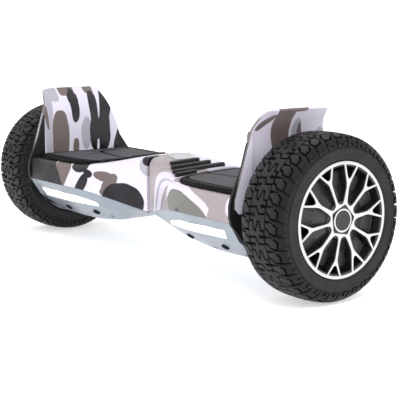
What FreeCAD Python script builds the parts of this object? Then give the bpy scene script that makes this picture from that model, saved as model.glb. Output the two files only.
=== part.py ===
"""Two-wheeled self balancing board with 8.5 inch off-road wheels, in millimetres.

X runs along the axles, Y from front to rear, Z up. The origin is on the floor,
under the middle of the board. Every piece is drawn once for the right half
(+X) and mirrored for the left one.
"""
import FreeCAD
import Part
import math
import os

V = FreeCAD.Vector
X_AXIS = V(1, 0, 0)
Z_AXIS = V(0, 0, 1)

# ---- driving dimensions: wheels ------------------------------------------
TYRE_R = 108.0            # 8.5 inch tyre
TYRE_W = 80.0
TRACK = 644.0             # tyre centre to tyre centre
RIM_R = 74.0
RIM_BORE_R = 64.0
RIM_HALF_W = 34.0
AXLE_R = 8.5              # 17 mm motor axle in 6003 bearings
AXLE_CABLE_R = 4.5
AXLE_START = 208.5
BEARING_R = 17.5
BEARING_W = 10.0
RUNNING_GAP = 0.05
STATOR_R = 60.0
STATOR_HALF_W = 12.0
STATOR_TEETH = 27
MAGNET_T = 3.4
MAGNETS = 30
COVER_SCREWS = 6
COVER_SCREW_PCD = 138.0
COVER_SCREW_R = 2.0

# ---- driving dimensions: wheel cover -------------------------------------
SPOKES = 10
SPOKE_PHASE = 7.0         # degrees from the rear, seen from outside
TRIM_FACE_T = 38.8        # outer face, measured from the tyre centre
TRIM_T = 1.6
TRIM_RING_W = 3.6
ARM_SPREAD = 9.0          # degrees each side of a spoke
ARM_W = 2.3
HUB_PENTAGON_R = 22.5
EYE_R = 14.7

# ---- driving dimensions: body --------------------------------------------
AXIS_Z = TYRE_R
END_X = 258.0             # outer end of a body shell
GAP_X = 3.5               # half of the gap between the two halves
WALL = 3.0
DECK_WALL = 5.0
DECK_Z = 135.0
SEAM = 0.2
MAT_RECESS = 2.0
MAT_TOP = 140.5
MAT_EDGE_GAP = 0.8

# x: parting line (y, z), deck edge y, top z, corner radius, belly z
STATIONS = [
    (3.5, 45.0, 74.0, 44.0, 157.0, 13.0, 71.5),
    (20.0, 51.5, 77.5, 49.0, 155.5, 12.5, 70.5),
    (40.0, 60.0, 82.0, 55.5, 151.5, 11.5, 65.5),
    (60.0, 69.0, 87.0, 62.0, 147.0, 10.0, 56.0),
    (80.0, 78.0, 91.5, 69.0, 143.0, 9.0, 50.0),
    (100.0, 86.0, 95.5, 75.0, 139.5, 8.0, 47.0),
    (125.0, 93.0, 98.5, 81.0, 136.5, 7.0, 44.3),
    (160.0, 98.5, 100.0, 85.5, 135.0, 6.0, 42.5),
    (180.0, 98.5, 100.0, 85.8, 135.0, 6.0, 42.0),
    (205.0, 98.5, 100.0, 86.5, 135.0, 6.0, 42.0),
    (238.0, 98.5, 100.0, 89.0, 135.0, 5.0, 43.5),
    (258.0, 98.5, 100.0, 95.5, 135.0, 4.0, 47.0),
]
CROWN = 1.5               # the deck's rise from its edge to the middle
CREASE_DROP = 0.50        # crease under the light strip, as part of the depth
CREASE_IN = 0.32
BELLY_IN = 0.85
BELLY_FLAT_IN = 1.05

# ---- driving dimensions: fender and wheel arch liner ----------------------
FENDER_X = 258.6
FENDER_T = 3.4
FENDER_BEND_Z = 197.0
FENDER_BEND_R = 52.0
FENDER_BEND = 47.0        # degrees
FENDER_LIP = 13.0
FENDER_FOOT_Z = 118.0
PANEL_HALF_Y = 71.0
FLANGE_X = 263.4
FLANGE_T = 3.0
LINER_T = 4.0

# ---- driving dimensions: chassis and what it carries ----------------------
FRAME_TOP = 121.0
FRAME_T = 5.0
FRAME_HALF_Y = 50.0
LUG_TOP = 128.0
PIVOT_R = 12.0
PIVOT_BORE_R = 7.0
PIVOT_END = 62.0
PIVOT_TUBE_R = 21.0
BUSH_R = 15.0
BUSH_L = 12.0
BATTERY = (120.0, 70.0, 54.0)
BATTERY_X = 80.0
BOARD_SIZE = (108.0, 74.0, 1.6)
BOARD_X = 84.0
BOARD_Z = 74.0

# ---- driving dimensions: light strip, button, charging port ---------------
LIGHT_TOP = 86.8
LIGHT_BOTTOM = 75.2
LIGHT_STATIONS = (96.0, 112.0, 130.0, 150.0, 175.0, 205.0, 240.0)
LIGHT_SLANT = 6.0
LIGHT_SAG = 2.4           # drop of the strip's inner end
LIGHT_TAPER = 52.0        # length over which the strip narrows towards its inner end
BUTTON_X = 176.0
BUTTON_R = 6.0
PORT_X = 208.0
PORT_R = 8.5
PORT_BORE_R = 5.6
PORT_DEPTH = 9.0
CAP_BEAD_R = 1.4          # round bead on the flap's bending line
FACE_FIT = 0.30           # under the bezels, for the slight twist of the rear face
FACE_Z = 86.0             # height of the button and the port on the rear face

os.makedirs("parts", exist_ok=True)


# ---- small helpers ---------------------------------------------------------
def box(low, high):
    """Box between two corners."""
    return Part.makeBox(high[0] - low[0], high[1] - low[1], high[2] - low[2], V(*low))


def rod(radius, start, end):
    """Round bar between two points."""
    way = V(*end) - V(*start)
    return Part.makeCylinder(radius, way.Length, V(*start), way)


def tube(outer, inner, start, end):
    """Round tube between two points."""
    return rod(outer, start, end).cut(rod(inner, start, end))


def prism(points, way):
    """Flat outline pushed along a vector."""
    wire = Part.makePolygon([V(*p) for p in points] + [V(*points[0])])
    return Part.Face(wire).extrude(V(*way))


def outline_yz(points, x_low, x_high):
    """Outline in the YZ plane made into a plate between two X values."""
    return prism([(x_low, y, z) for y, z in points], (x_high - x_low, 0, 0))


def outline_xy(points, z_low, z_high):
    """Outline seen from above made into a plate between two heights."""
    return prism([(x, y, z_low) for x, y in points], (0, 0, z_high - z_low))


def turned(points, centre_x):
    """Solid turned about the axle line from (offset from centre_x, radius) points."""
    wire = Part.makePolygon([V(centre_x + t, 0, AXIS_Z + r) for t, r in points + points[:1]])
    return Part.Face(wire).revolve(V(0, 0, AXIS_Z), X_AXIS, 360)


def fused(shapes):
    """One shape from several touching ones, with the seams taken out."""
    shapes = list(shapes)
    whole = shapes[0].multiFuse(shapes[1:]) if len(shapes) > 1 else shapes[0]
    return whole.removeSplitter()


def group(shapes):
    """Separate solids kept in one node."""
    return Part.makeCompound(list(shapes))


def mirrored(shape):
    """The same piece for the left half."""
    return shape.mirror(V(0, 0, 0), X_AXIS)


def export(name, shape):
    """Writes one node."""
    solids = shape.Solids
    for solid in solids:
        if not solid.isValid():
            raise ValueError(name + " has a bad solid")
    shape = solids[0] if len(solids) == 1 else Part.makeCompound(solids)
    shape.exportStep("parts/" + name + ".step")
    print(name, len(solids), round(shape.Volume / 1000.0, 1))


def export_pair(name, right):
    """Writes a piece for the right half and its mirror for the left half."""
    export("right_" + name, right)
    export("left_" + name, mirrored(right))


# ---- body sections ----------------------------------------------------------
def station(x):
    """Section sizes at x, taken in a straight line between the stated stations."""
    for low, high in zip(STATIONS, STATIONS[1:]):
        if x <= high[0]:
            share = (x - low[0]) / (high[0] - low[0])
            return [a + (b - a) * share for a, b in zip(low[1:], high[1:])]
    return list(STATIONS[-1][1:])


def mirrored_wire(x, half):
    """Closed wire at x from the curves of the front half, top middle to bottom middle.

    Each curve is a list of (y, z) poles: two for a line, three or more for a curve.
    """
    edges = []
    rear = [[(-y, z) for y, z in reversed(curve)] for curve in reversed(half)]
    for curve in half + rear:
        poles = [V(x, y, z) for y, z in curve]
        if len(poles) == 2:
            edges.append(Part.makeLine(poles[0], poles[1]))
        else:
            bezier = Part.BezierCurve()
            bezier.setPoles(poles)
            edges.append(bezier.toShape())
    return Part.Wire(edges)


def upper_section(x, at, wall, roof, sink):
    """Upper shell section at x with the sizes of the section at `at`."""
    y_part, z_part, y_edge, z_top, corner, _ = station(at)
    y_part -= wall
    y_edge -= wall
    z_top -= roof
    z_edge = z_top - CROWN
    corner = max(corner - wall, 2.0)
    z_low = z_part - sink
    lean = (y_part - y_edge) / (z_edge - z_part)
    face_end = (-(y_edge + lean * corner), z_edge - corner)
    foot = (-(y_part + lean * sink), z_low)
    deck_start = (-(y_edge - corner), z_edge)
    reach = y_edge - corner
    crown = [(0.0, z_top), (-0.5 * reach, z_top), deck_start]
    return mirrored_wire(x, [
        crown,
        [deck_start, (-y_edge, z_edge), face_end],
        [face_end, foot],
        [foot, (0.0, z_low)],
    ])


def lower_corners(x, wall=0.0):
    """Front corners of the lower shell at x: parting, crease, belly edge, belly flat."""
    y_part, z_part, _, _, _, z_belly = station(x)
    z_belly += wall
    y_part -= wall
    depth = z_part - z_belly
    return [
        (-y_part, z_part),
        (-(y_part - CREASE_IN * depth), z_part - CREASE_DROP * depth),
        (-(y_part - BELLY_IN * depth), z_belly + 0.10 * depth),
        (-(y_part - BELLY_FLAT_IN * depth), z_belly),
    ]


def lower_section(x, at, wall, rise):
    """Lower shell section at x with the sizes of the section at `at`."""
    part, crease, edge, flat = lower_corners(at, wall)
    top = (part[0], part[1] + rise)
    half = [[(0.0, top[1]), top], [top, crease], [crease, edge, flat], [flat, (0.0, flat[1])]]
    return mirrored_wire(x, half)


def loft(sections):
    """Smooth solid through the sections."""
    return Part.makeLoft(sections, True, False)


def stations_between(low, high):
    """The stated station places, with both ends moved to low and high."""
    inside = [row[0] for row in STATIONS if low + 6.0 < row[0] < high - 6.0]
    return [low] + inside + [high]


def face_point(x, z):
    """Point of the slanted front face of the lower shell at height z, and its outward normal."""
    part, crease = lower_corners(x)[:2]
    run_y = crease[0] - part[0]
    run_z = crease[1] - part[1]
    share = (z - part[1]) / run_z
    length = math.hypot(run_y, run_z)
    return part[0] + run_y * share, (run_z / length, -run_y / length)


# ---- outlines ----------------------------------------------------------------
MAT_OUTLINE = [
    (250.0, -84.0), (178.0, -83.0), (150.0, -81.0), (128.0, -77.5), (114.0, -71.0), (107.0, -60.0),
    (98.0, -40.0), (91.0, -14.0), (85.0, 14.0), (80.0, 40.0), (79.0, 54.0), (84.0, 63.0), (96.0, 70.0),
    (128.0, 77.5), (150.0, 81.0), (178.0, 83.0), (250.0, 84.0),
]
FENDER_FRONT = [(-88.0, 112.0), (-95.0, 120.0), (-95.0, 130.0), (-84.5, 165.0), (-76.0, 193.0),
                (-67.0, 222.0), (-62.5, 236.0), (-58.0, 241.0)]
FENDER_TOP = [(-48.0, 243.2), (0.0, 245.0), (32.0, 244.5), (42.0, 241.0)]
FENDER_REAR = [(46.0, 234.0), (53.0, 218.0), (65.0, 190.0), (76.0, 164.0), (88.0, 132.0), (88.0, 112.0)]
LINER_FRONT = [(-52.0, 52.0), (-70.0, 60.0), (-82.0, 78.0), (-90.0, 88.0), (-98.0, 97.0), (-101.0, 108.0),
               (-101.0, 122.0), (-98.0, 134.0), (-83.0, 165.0), (-74.6, 193.0), (-72.2, 201.0)]
LINER_REAR = [(72.2, 170.0), (75.0, 162.0), (95.0, 134.0), (101.0, 122.0), (101.0, 108.0), (98.0, 97.0),
              (90.0, 88.0), (82.0, 78.0), (70.0, 60.0), (52.0, 52.0)]
# front end, rear end, width
RIBS = [
    ((95.0, -61.0), (89.0, -26.0), 7.0),
    ((82.0, -54.0), (70.0, 38.0), 10.0),
    ((65.0, -44.0), (56.0, 23.0), 10.0),
    ((48.5, -34.0), (43.0, 12.0), 10.0),
]
RIB_PROUD = 4.0
PANEL = (12.0, 18.0, -1.2, 1.4)   # half length, half width, bottom and top of the status panel
PANEL_X = 24.5

CLAMP_SCREWS = [(222.0, -15.0), (222.0, 15.0), (242.0, -15.0), (242.0, 15.0)]
BELLY_SCREWS = [(96.0, -44.0), (96.0, 44.0), (165.0, -46.0), (165.0, 46.0), (232.0, -46.0), (232.0, 46.0)]
DECK_SCREWS = [(108.0, -44.0), (108.0, 44.0), (236.0, -42.0), (236.0, 42.0)]
END_SCREWS = [-50.0, 50.0]
END_SCREW_Z = 124.0
MAT_SWITCH_PEGS = [(178.0, -30.0), (178.0, 30.0)]
PEG_R = 5.0
SCREW_R = 1.8
HEAD_R = 3.6
HEAD_T = 2.4


def screw(place, way, length, radius=SCREW_R, head=HEAD_R, head_t=HEAD_T):
    """Pan head screw with a cross recess; place is under the head, way is where the shank goes."""
    place = V(*place)
    way = V(*way).normalize()
    shank = Part.makeCylinder(radius, length, place, way)
    cap = Part.makeCylinder(head, head_t, place - way * head_t, way)
    side = way.cross(V(1, 1, 0.3)).normalize()
    other = way.cross(side)
    recess = []
    for along, across in ((side, other), (other, side)):
        half_l = along * (head * 0.6)
        half_w = across * (head * 0.13)
        top = place - way * (head_t + 0.1)
        corners = [top + half_l + half_w, top - half_l + half_w, top - half_l - half_w, top + half_l - half_w]
        recess.append(Part.Face(Part.makePolygon(corners + corners[:1])).extrude(way * (head_t * 0.6)))
    return shank.fuse(cap).cut(recess[0].fuse(recess[1]))


def grown(points, by):
    """Outline moved outward by a distance, corner by corner."""
    moved = []
    count = len(points)
    area = sum(points[i][0] * points[(i + 1) % count][1] - points[(i + 1) % count][0] * points[i][1]
               for i in range(count))
    turn = 1.0 if area > 0 else -1.0
    for i in range(count):
        before = points[i - 1]
        here = points[i]
        after = points[(i + 1) % count]
        first = V(here[0] - before[0], here[1] - before[1], 0).normalize()
        second = V(after[0] - here[0], after[1] - here[1], 0).normalize()
        out_a = V(first.y, -first.x, 0) * turn
        out_b = V(second.y, -second.x, 0) * turn
        middle = (out_a + out_b).normalize()
        reach = by / max(middle.dot(out_a), 0.5)
        moved.append((here[0] + middle.x * reach, here[1] + middle.y * reach))
    return moved


# ---- body shells ---------------------------------------------------------------
def top_height(x):
    """Height of the body's top at its middle."""
    return station(x)[3]


def rib_bar(start, end, width, low, high):
    """Round-ended bar that follows the top, from low under it to high over it."""
    a = V(start[0], start[1], top_height(start[0]) - CROWN)
    b = V(end[0], end[1], top_height(end[0]) - CROWN)
    way = b - a
    flat_way = V(way.x, way.y, 0)
    angle = math.degrees(math.atan2(flat_way.y, flat_way.x))
    half = width / 2.0
    length = flat_way.Length
    edges = [
        Part.makeLine(V(0, -half, 0), V(length, -half, 0)),
        Part.Arc(V(length, -half, 0), V(length + half, 0, 0), V(length, half, 0)).toShape(),
        Part.makeLine(V(length, half, 0), V(0, half, 0)),
        Part.Arc(V(0, half, 0), V(-half, 0, 0), V(0, -half, 0)).toShape(),
    ]
    bar = Part.Face(Part.Wire(edges)).extrude(V(0, 0, high - low))
    bar.rotate(V(0, 0, 0), V(0, 1, 0), -math.degrees(math.atan2(way.z, length)))
    bar.rotate(V(0, 0, 0), Z_AXIS, angle)
    bar.translate(a + V(0, 0, low))
    return bar


def make_ribs():
    """Four rubber grip ribs set into the waist."""
    bars = []
    for start, end, width in RIBS:
        bar = rib_bar(start, end, width, -1.2, RIB_PROUD + CROWN)
        rims = [edge for edge in bar.Edges if edge.CenterOfMass.z > bar.BoundBox.Center.z + 1.0]
        bars.append(bar.makeFillet(2.0, rims))
    return group(bars)


def make_upper_shell():
    """Painted upper shell with the mat recess, rib slots and bosses."""
    outer = loft([upper_section(x, x, 0.0, 0.0, 0.0) for x in stations_between(GAP_X, END_X)])
    low = GAP_X + WALL
    high = END_X - WALL
    inner = loft([upper_section(x, x, WALL, DECK_WALL, 1.5) for x in stations_between(low, high)])
    shell = outer.cut(inner)
    recess = outline_xy(grown(MAT_OUTLINE, MAT_EDGE_GAP), DECK_Z - MAT_RECESS, DECK_Z + 30.0)
    bosses = [rod(5.0, (x, y, FRAME_TOP), (x, y, DECK_Z - 0.5)) for x, y in DECK_SCREWS]
    shell = shell.fuse(bosses).cut(recess)
    cuts = [rod(AXLE_R + 4.0, (END_X - 5.0, 0, AXIS_Z), (END_X + 5.0, 0, AXIS_Z))]
    cuts.append(rod(PIVOT_TUBE_R + 1.5, (0, 0, AXIS_Z), (GAP_X + 5.0, 0, AXIS_Z)))
    for x, y in DECK_SCREWS:
        cuts.append(rod(SCREW_R + 0.1, (x, y, FRAME_TOP - 1.0), (x, y, DECK_Z)))
        cuts.append(rod(HEAD_R + 0.3, (x, y, DECK_Z - MAT_RECESS - HEAD_T - 0.2), (x, y, DECK_Z)))
    for x, y in MAT_SWITCH_PEGS:
        cuts.append(rod(PEG_R + 1.0, (x, y, FRAME_TOP + 4.0), (x, y, DECK_Z)))
    for start, end, width in RIBS:
        cuts.append(rib_bar(start, end, width + 0.4, -1.4, RIB_PROUD + CROWN))
    for y in END_SCREWS:
        cuts.append(rod(2.2, (END_X - 5.0, y, END_SCREW_Z), (END_X + 5.0, y, END_SCREW_Z)))
    return shell.cut(cuts)


def make_lower_shell(cuts):
    """Silver lower shell with screw towers."""
    outer = loft([lower_section(x, x, 0.0, -SEAM) for x in stations_between(GAP_X, END_X)])
    high = END_X - WALL
    inner = loft([lower_section(x, x, WALL, 3.0) for x in stations_between(32.0, high)])
    shell = outer.cut(inner)
    for x, y in BELLY_SCREWS:
        tower = rod(6.5, (x, y, 30.0), (x, y, 66.0)).common(outer)
        shell = shell.fuse(tower)
    holes = [rod(AXLE_R + 4.0, (END_X - 5.0, 0, AXIS_Z), (END_X + 5.0, 0, AXIS_Z))]
    for x, y in BELLY_SCREWS:
        holes.append(rod(HEAD_R + 0.6, (x, y, 30.0), (x, y, 60.0)))
        holes.append(rod(SCREW_R + 0.1, (x, y, 59.0), (x, y, 67.0)))
    return shell.cut(holes + cuts)


def strip(x_list, top, bottom, out, deep):
    """Bar that follows the slanted front face, from `out` outside it to `deep` inside it."""
    sections = []
    for x in x_list:
        sag = LIGHT_SAG * (LIGHT_STATIONS[-1] - x) / (LIGHT_STATIONS[-1] - LIGHT_STATIONS[0])
        corners = []
        for level, off in ((top, out), (bottom, out), (bottom, -deep), (top, -deep)):
            z = level - sag
            y, normal = face_point(x, z)
            corners.append(V(x, y + normal[0] * off, z + normal[1] * off))
        sections.append(Part.makePolygon(corners + corners[:1]))
    return loft(sections)


def make_light_lens(grow=0.0):
    """Lit lens with a slanted outer end and a pointed inner end."""
    bar = strip(LIGHT_STATIONS, LIGHT_TOP + grow, LIGHT_BOTTOM - grow, 0.5 + 6.0 * grow, 3.6 + 8.0 * grow)
    end = LIGHT_STATIONS[-1] + grow
    inner = LIGHT_STATIONS[0] - grow
    outer_cut = prism([(end, -120.0, LIGHT_TOP + 9.0), (end + 20.0, -120.0, LIGHT_TOP + 9.0),
                       (end + 20.0, -120.0, LIGHT_BOTTOM - 9.0),
                       (end - LIGHT_SLANT - 4.0, -120.0, LIGHT_BOTTOM - 9.0)], (0, 80.0, 0))
    nose_top = LIGHT_TOP - LIGHT_SAG
    nose_cut = prism([(inner - 10.0, -120.0, nose_top + 9.0), (inner + LIGHT_TAPER, -120.0, nose_top + 9.0),
                      (inner + LIGHT_TAPER, -120.0, nose_top + 1.8 + grow),
                      (inner + 12.0, -120.0, nose_top - 4.2 + grow), (inner + 3.0, -120.0, nose_top - 6.4 + grow),
                      (inner, -120.0, nose_top - 8.6), (inner - 10.0, -120.0, nose_top - 8.6)], (0, 80.0, 0))
    return bar.cut([outer_cut, nose_cut])


def make_light_board():
    """Strip board with a row of light chips behind the lens."""
    x_list = [x for x in LIGHT_STATIONS if x > 100.0][:-1] + [232.0]
    board = strip(x_list, LIGHT_TOP - 2.5, LIGHT_BOTTOM + 2.5, -5.4, 7.0)
    chips = []
    for i in range(11):
        x = 122.0 + 10.0 * i
        chips.append(strip((x, x + 4.0), LIGHT_TOP - 4.0, LIGHT_BOTTOM + 4.0, -4.6, 6.4))
    return fused([board] + chips)


def rear_face_place(x, z):
    """Point on the rear slanted face and its outward direction."""
    y, normal = face_point(x, z)
    return V(x, -y, z), V(0, -normal[0], normal[1])


# ---- fender, liner, mats --------------------------------------------------------
def make_fender():
    """Upright fender plate whose top bends outward over the tyre."""
    start = V(FENDER_X, 0, FENDER_FOOT_Z)
    bend = math.radians(FENDER_BEND)
    centre = V(FENDER_X + FENDER_BEND_R, 0, FENDER_BEND_Z)

    def on_bend(radius, angle):
        return centre + V(-radius * math.cos(angle), 0, radius * math.sin(angle))

    def band_arc(radius):
        return Part.Arc(on_bend(radius, 0), on_bend(radius, bend / 2), on_bend(radius, bend)).toShape()

    way = V(math.sin(bend), 0, math.cos(bend)) * FENDER_LIP
    inner_r = FENDER_BEND_R
    outer_r = FENDER_BEND_R - FENDER_T
    lip_in = on_bend(inner_r, bend)
    lip_out = on_bend(outer_r, bend)
    foot_out = start + V(FENDER_T, 0, 0)
    edges = [
        Part.makeLine(start, on_bend(inner_r, 0)), band_arc(inner_r), Part.makeLine(lip_in, lip_in + way),
        Part.makeLine(lip_in + way, lip_out + way), Part.makeLine(lip_out + way, lip_out),
        band_arc(outer_r), Part.makeLine(on_bend(outer_r, 0), foot_out), Part.makeLine(foot_out, start),
    ]
    profile = Part.Face(Part.Wire(Part.sortEdges(edges)[0]))
    profile.translate(V(0, -120.0, 0))
    band = profile.extrude(V(0, 240.0, 0))
    outline = FENDER_FRONT + FENDER_TOP + FENDER_REAR
    whole = outline_yz(outline, FENDER_X - 1.0, 300.0)
    middle = box((FENDER_X - 1.0, -PANEL_HALF_Y, FENDER_FOOT_Z), (300.0, PANEL_HALF_Y, 260.0))
    panel = band.common(whole).common(middle)
    flange_x = FLANGE_X + FLANGE_T
    flange = outline_yz(outline, FLANGE_X, flange_x)
    flange = flange.cut(box((FENDER_X - 5.0, -PANEL_HALF_Y + FENDER_T, 100.0),
                            (flange_x + 5.0, PANEL_HALF_Y - FENDER_T, 260.0)))
    steps = []
    for side in (-1.0, 1.0):
        low = min(side * PANEL_HALF_Y, side * (PANEL_HALF_Y - FENDER_T))
        step = box((FENDER_X, low, FENDER_FOOT_Z), (flange_x, low + FENDER_T, 215.0))
        steps.append(step.common(whole))
    fender = fused([panel, flange] + steps)
    holes = [rod(2.2, (FENDER_X - 1.0, y, END_SCREW_Z), (280.0, y, END_SCREW_Z)) for y in END_SCREWS]
    return fender.cut(holes)


def make_liner():
    """Black wheel arch liner between the body and the tyre."""
    plate = outline_yz(LINER_FRONT + LINER_REAR, FENDER_X, FENDER_X + LINER_T)
    window = box((FENDER_X - 1.0, -PANEL_HALF_Y - 0.4, FENDER_FOOT_Z - 0.4),
                 (FENDER_X + 9.0, PANEL_HALF_Y + 0.4, 230.0))
    axle_hole = rod(AXLE_R + 4.0, (FENDER_X - 1.0, 0, AXIS_Z), (FENDER_X + 9.0, 0, AXIS_Z))
    return plate.cut([window, axle_hole])


def make_mat():
    """Rubber foot mat with a raised rim line and pegs that reach the foot switches."""
    bottom = DECK_Z
    slab = outline_xy(MAT_OUTLINE, bottom, MAT_TOP)
    groove_out = grown(MAT_OUTLINE, -7.0)
    groove_in = grown(MAT_OUTLINE, -9.0)
    groove = outline_xy(groove_out, MAT_TOP - 1.0, MAT_TOP + 1.0).cut(
        outline_xy(groove_in, MAT_TOP - 2.0, MAT_TOP + 2.0))
    rims = [e for e in slab.Edges if abs(e.CenterOfMass.z - MAT_TOP) < 0.01]
    slab = slab.makeChamfer(1.2, rims)
    pegs = [rod(PEG_R, (x, y, 127.2), (x, y, bottom + 1.0)) for x, y in MAT_SWITCH_PEGS]
    return fused([slab] + pegs).cut(groove)


# ---- chassis ---------------------------------------------------------------------
def make_frame():
    """Cast aluminium chassis: pivot tube, deck plate, side flanges and axle seat."""
    plate = outline_xy([(30.0, -34.0), (80.0, -FRAME_HALF_Y), (252.0, -FRAME_HALF_Y),
                        (252.0, FRAME_HALF_Y), (80.0, FRAME_HALF_Y), (30.0, 34.0)],
                       FRAME_TOP - FRAME_T, FRAME_TOP)
    pieces = [plate, rod(PIVOT_TUBE_R, (6.0, 0, AXIS_Z), (PIVOT_END, 0, AXIS_Z))]
    for side in (-1.0, 1.0):
        wall = sorted((side * FRAME_HALF_Y, side * (FRAME_HALF_Y - 4.0)))
        pieces.append(box((80.0, wall[0], 96.0), (252.0, wall[1], FRAME_TOP - 1.0)))
        lug = sorted((side * 44.0, side * 56.0))
        pieces.append(box((246.0, lug[0], FRAME_TOP - FRAME_T), (END_X - WALL - 0.2, lug[1], LUG_TOP)))
        rib = sorted((side * 20.0, side * 24.0))
        pieces.append(box((60.0, rib[0], 110.0), (212.0, rib[1], FRAME_TOP - 1.0)))
    pieces.append(box((212.0, -24.0, AXIS_Z + 0.2), (252.0, 24.0, FRAME_TOP - 1.0)))
    pieces += [rod(5.5, (x, y, 96.0), (x, y, FRAME_TOP - 1.0)) for x, y in BELLY_SCREWS]
    frame = fused(pieces)
    cuts = [rod(AXLE_R, (200.0, 0, AXIS_Z), (260.0, 0, AXIS_Z))]
    for x, y in CLAMP_SCREWS:
        cuts.append(rod(2.5, (x, y, 100.0), (x, y, FRAME_TOP - 2.0)))
    for x, y in BELLY_SCREWS:
        cuts.append(rod(SCREW_R, (x, y, 90.0), (x, y, 112.0)))
    for x, y in DECK_SCREWS:
        cuts.append(rod(SCREW_R, (x, y, 110.0), (x, y, FRAME_TOP + 1.0)))
    for y in END_SCREWS:
        cuts.append(rod(2.0, (246.0, y, END_SCREW_Z), (END_X, y, END_SCREW_Z)))
    return frame.cut(cuts)


def make_axle_clamp():
    """Lower half of the axle seat."""
    block = box((214.0, -24.0, 94.0), (250.0, 24.0, AXIS_Z - 0.2))
    block = block.cut(rod(AXLE_R, (210.0, 0, AXIS_Z), (255.0, 0, AXIS_Z)))
    vertical = [e for e in block.Edges if e.BoundBox.ZLength > 13.0 and e.BoundBox.XLength < 0.1]
    block = block.makeFillet(3.0, vertical)
    return block.cut([rod(2.5, (x, y, 90.0), (x, y, 110.0)) for x, y in CLAMP_SCREWS])


def make_screws():
    """All screws of one half."""
    parts = [screw((x, y, 94.0), (0, 0, 1), 24.0, 2.5, 4.5, 4.0) for x, y in CLAMP_SCREWS]
    parts += [screw((x, y, 60.0), (0, 0, 1), 50.0) for x, y in BELLY_SCREWS]
    deck = DECK_Z - MAT_RECESS - HEAD_T - 0.2
    parts += [screw((x, y, deck), (0, 0, -1), 16.0) for x, y in DECK_SCREWS]
    head_x = FENDER_X + FENDER_T
    parts += [screw((head_x, y, END_SCREW_Z), (-1, 0, 0), 13.0, 2.0, 3.8) for y in END_SCREWS]
    return group(parts)


def make_gyro_board():
    """Gyro board on the chassis with two slotted foot switches."""
    board = box((130.0, -40.0, FRAME_TOP + 1.0), (212.0, 40.0, FRAME_TOP + 2.4))
    feet = [rod(3.0, (x, y, FRAME_TOP), (x, y, FRAME_TOP + 1.2)) for x in (136.0, 206.0) for y in (-34.0, 34.0)]
    pieces = [board] + feet
    for x, y in MAT_SWITCH_PEGS:
        pieces.append(box((x - 7.0, y - 4.0, FRAME_TOP + 2.0), (x + 7.0, y + 4.0, FRAME_TOP + 4.4)))
    pieces.append(box((150.0, -6.0, FRAME_TOP + 2.0), (162.0, 6.0, FRAME_TOP + 4.0)))
    pieces.append(box((192.0, -14.0, FRAME_TOP + 2.0), (204.0, -2.0, FRAME_TOP + 6.5)))
    return fused(pieces)


def make_battery():
    """Shrink-wrapped lithium pack under the left chassis."""
    length, width, height = BATTERY
    top = FRAME_TOP - FRAME_T - 6.2
    pack = box((BATTERY_X, -width / 2.0, top - height + 0.4), (BATTERY_X + length, width / 2.0, top))
    pack = pack.makeFillet(7.0, [e for e in pack.Edges if e.BoundBox.XLength > length - 1.0])
    return mirrored(pack)


def make_battery_straps():
    """Two steel straps that hold the pack to the chassis."""
    length, width, height = BATTERY
    top = FRAME_TOP - FRAME_T
    base = top - 6.2 - height + 0.4
    straps = []
    for x in (BATTERY_X + 20.0, BATTERY_X + 86.0):
        outer = box((x, -width / 2.0 - 1.6, base - 1.6), (x + 14.0, width / 2.0 + 1.6, top - 0.2))
        inner = box((x - 1.0, -width / 2.0, base), (x + 15.0, width / 2.0, top + 1.0))
        keep = outer.cut(inner)
        straps.append(keep.cut([box((x - 1.0, side - 3.0, 109.0), (x + 15.0, side + 3.0, top + 1.0))
                                for side in (-22.0, 22.0)]))
    return mirrored(group(straps))


def make_main_board():
    """Controller with its heat sink, power transistors and capacitors."""
    length, width, thick = BOARD_SIZE
    x0 = BOARD_X
    board = box((x0, -width / 2.0, BOARD_Z), (x0 + length, width / 2.0, BOARD_Z + thick))
    base = box((x0 + 4.0, -width / 2.0 + 2.0, BOARD_Z - 10.0), (x0 + length - 4.0, width / 2.0 - 2.0, BOARD_Z - 4.0))
    pieces = [board, base]
    for i in range(9):
        x = x0 + 8.0 + 11.0 * i
        pieces.append(box((x, -width / 2.0 + 2.0, BOARD_Z - 16.0), (x + 3.0, width / 2.0 - 2.0, BOARD_Z - 9.5)))
    for i in range(6):
        x = x0 + 14.0 + 14.0 * i
        for y in (-26.0, 18.0):
            pieces.append(box((x, y, BOARD_Z - 4.5), (x + 10.0, y + 8.0, BOARD_Z + 0.5)))
    for i in range(3):
        x = x0 + 24.0 + 22.0 * i
        pieces.append(rod(8.0, (x, 0, BOARD_Z + 1.0), (x, 0, BOARD_Z + 22.0)))
    for y in (-30.0, -18.0, 18.0, 30.0):
        pieces.append(box((x0 + 2.0, y - 4.5, BOARD_Z + 1.0), (x0 + 12.0, y + 4.5, BOARD_Z + 11.0)))
    for x in (x0 + 5.0, x0 + length - 5.0):
        for y in (-width / 2.0 + 5.0, width / 2.0 - 5.0):
            pieces.append(rod(3.0, (x, y, BOARD_Z + 0.5), (x, y, FRAME_TOP - FRAME_T)))
    return fused(pieces)


def make_motor_cable(board_end):
    """Motor cable from the axle bore to the electronics."""
    out = rod(3.2, (204.0, 0, AXIS_Z), (280.0, 0, AXIS_Z))
    drop = rod(3.2, (204.0, 0, AXIS_Z), board_end)
    elbow = Part.makeSphere(3.2, V(204.0, 0, AXIS_Z))
    return fused([out, drop, elbow])


# ---- pivot between the halves --------------------------------------------------------
def make_pivot_shaft():
    """Hollow steel shaft fixed in the left chassis and turning in the right one."""
    shaft = tube(PIVOT_R, PIVOT_BORE_R, (-PIVOT_END, 0, AXIS_Z), (PIVOT_END + 5.0, 0, AXIS_Z))
    groove = tube(PIVOT_R + 1.0, PIVOT_R - 1.0, (PIVOT_END + 1.0, 0, AXIS_Z), (PIVOT_END + 2.6, 0, AXIS_Z))
    return shaft.cut(groove)


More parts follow.
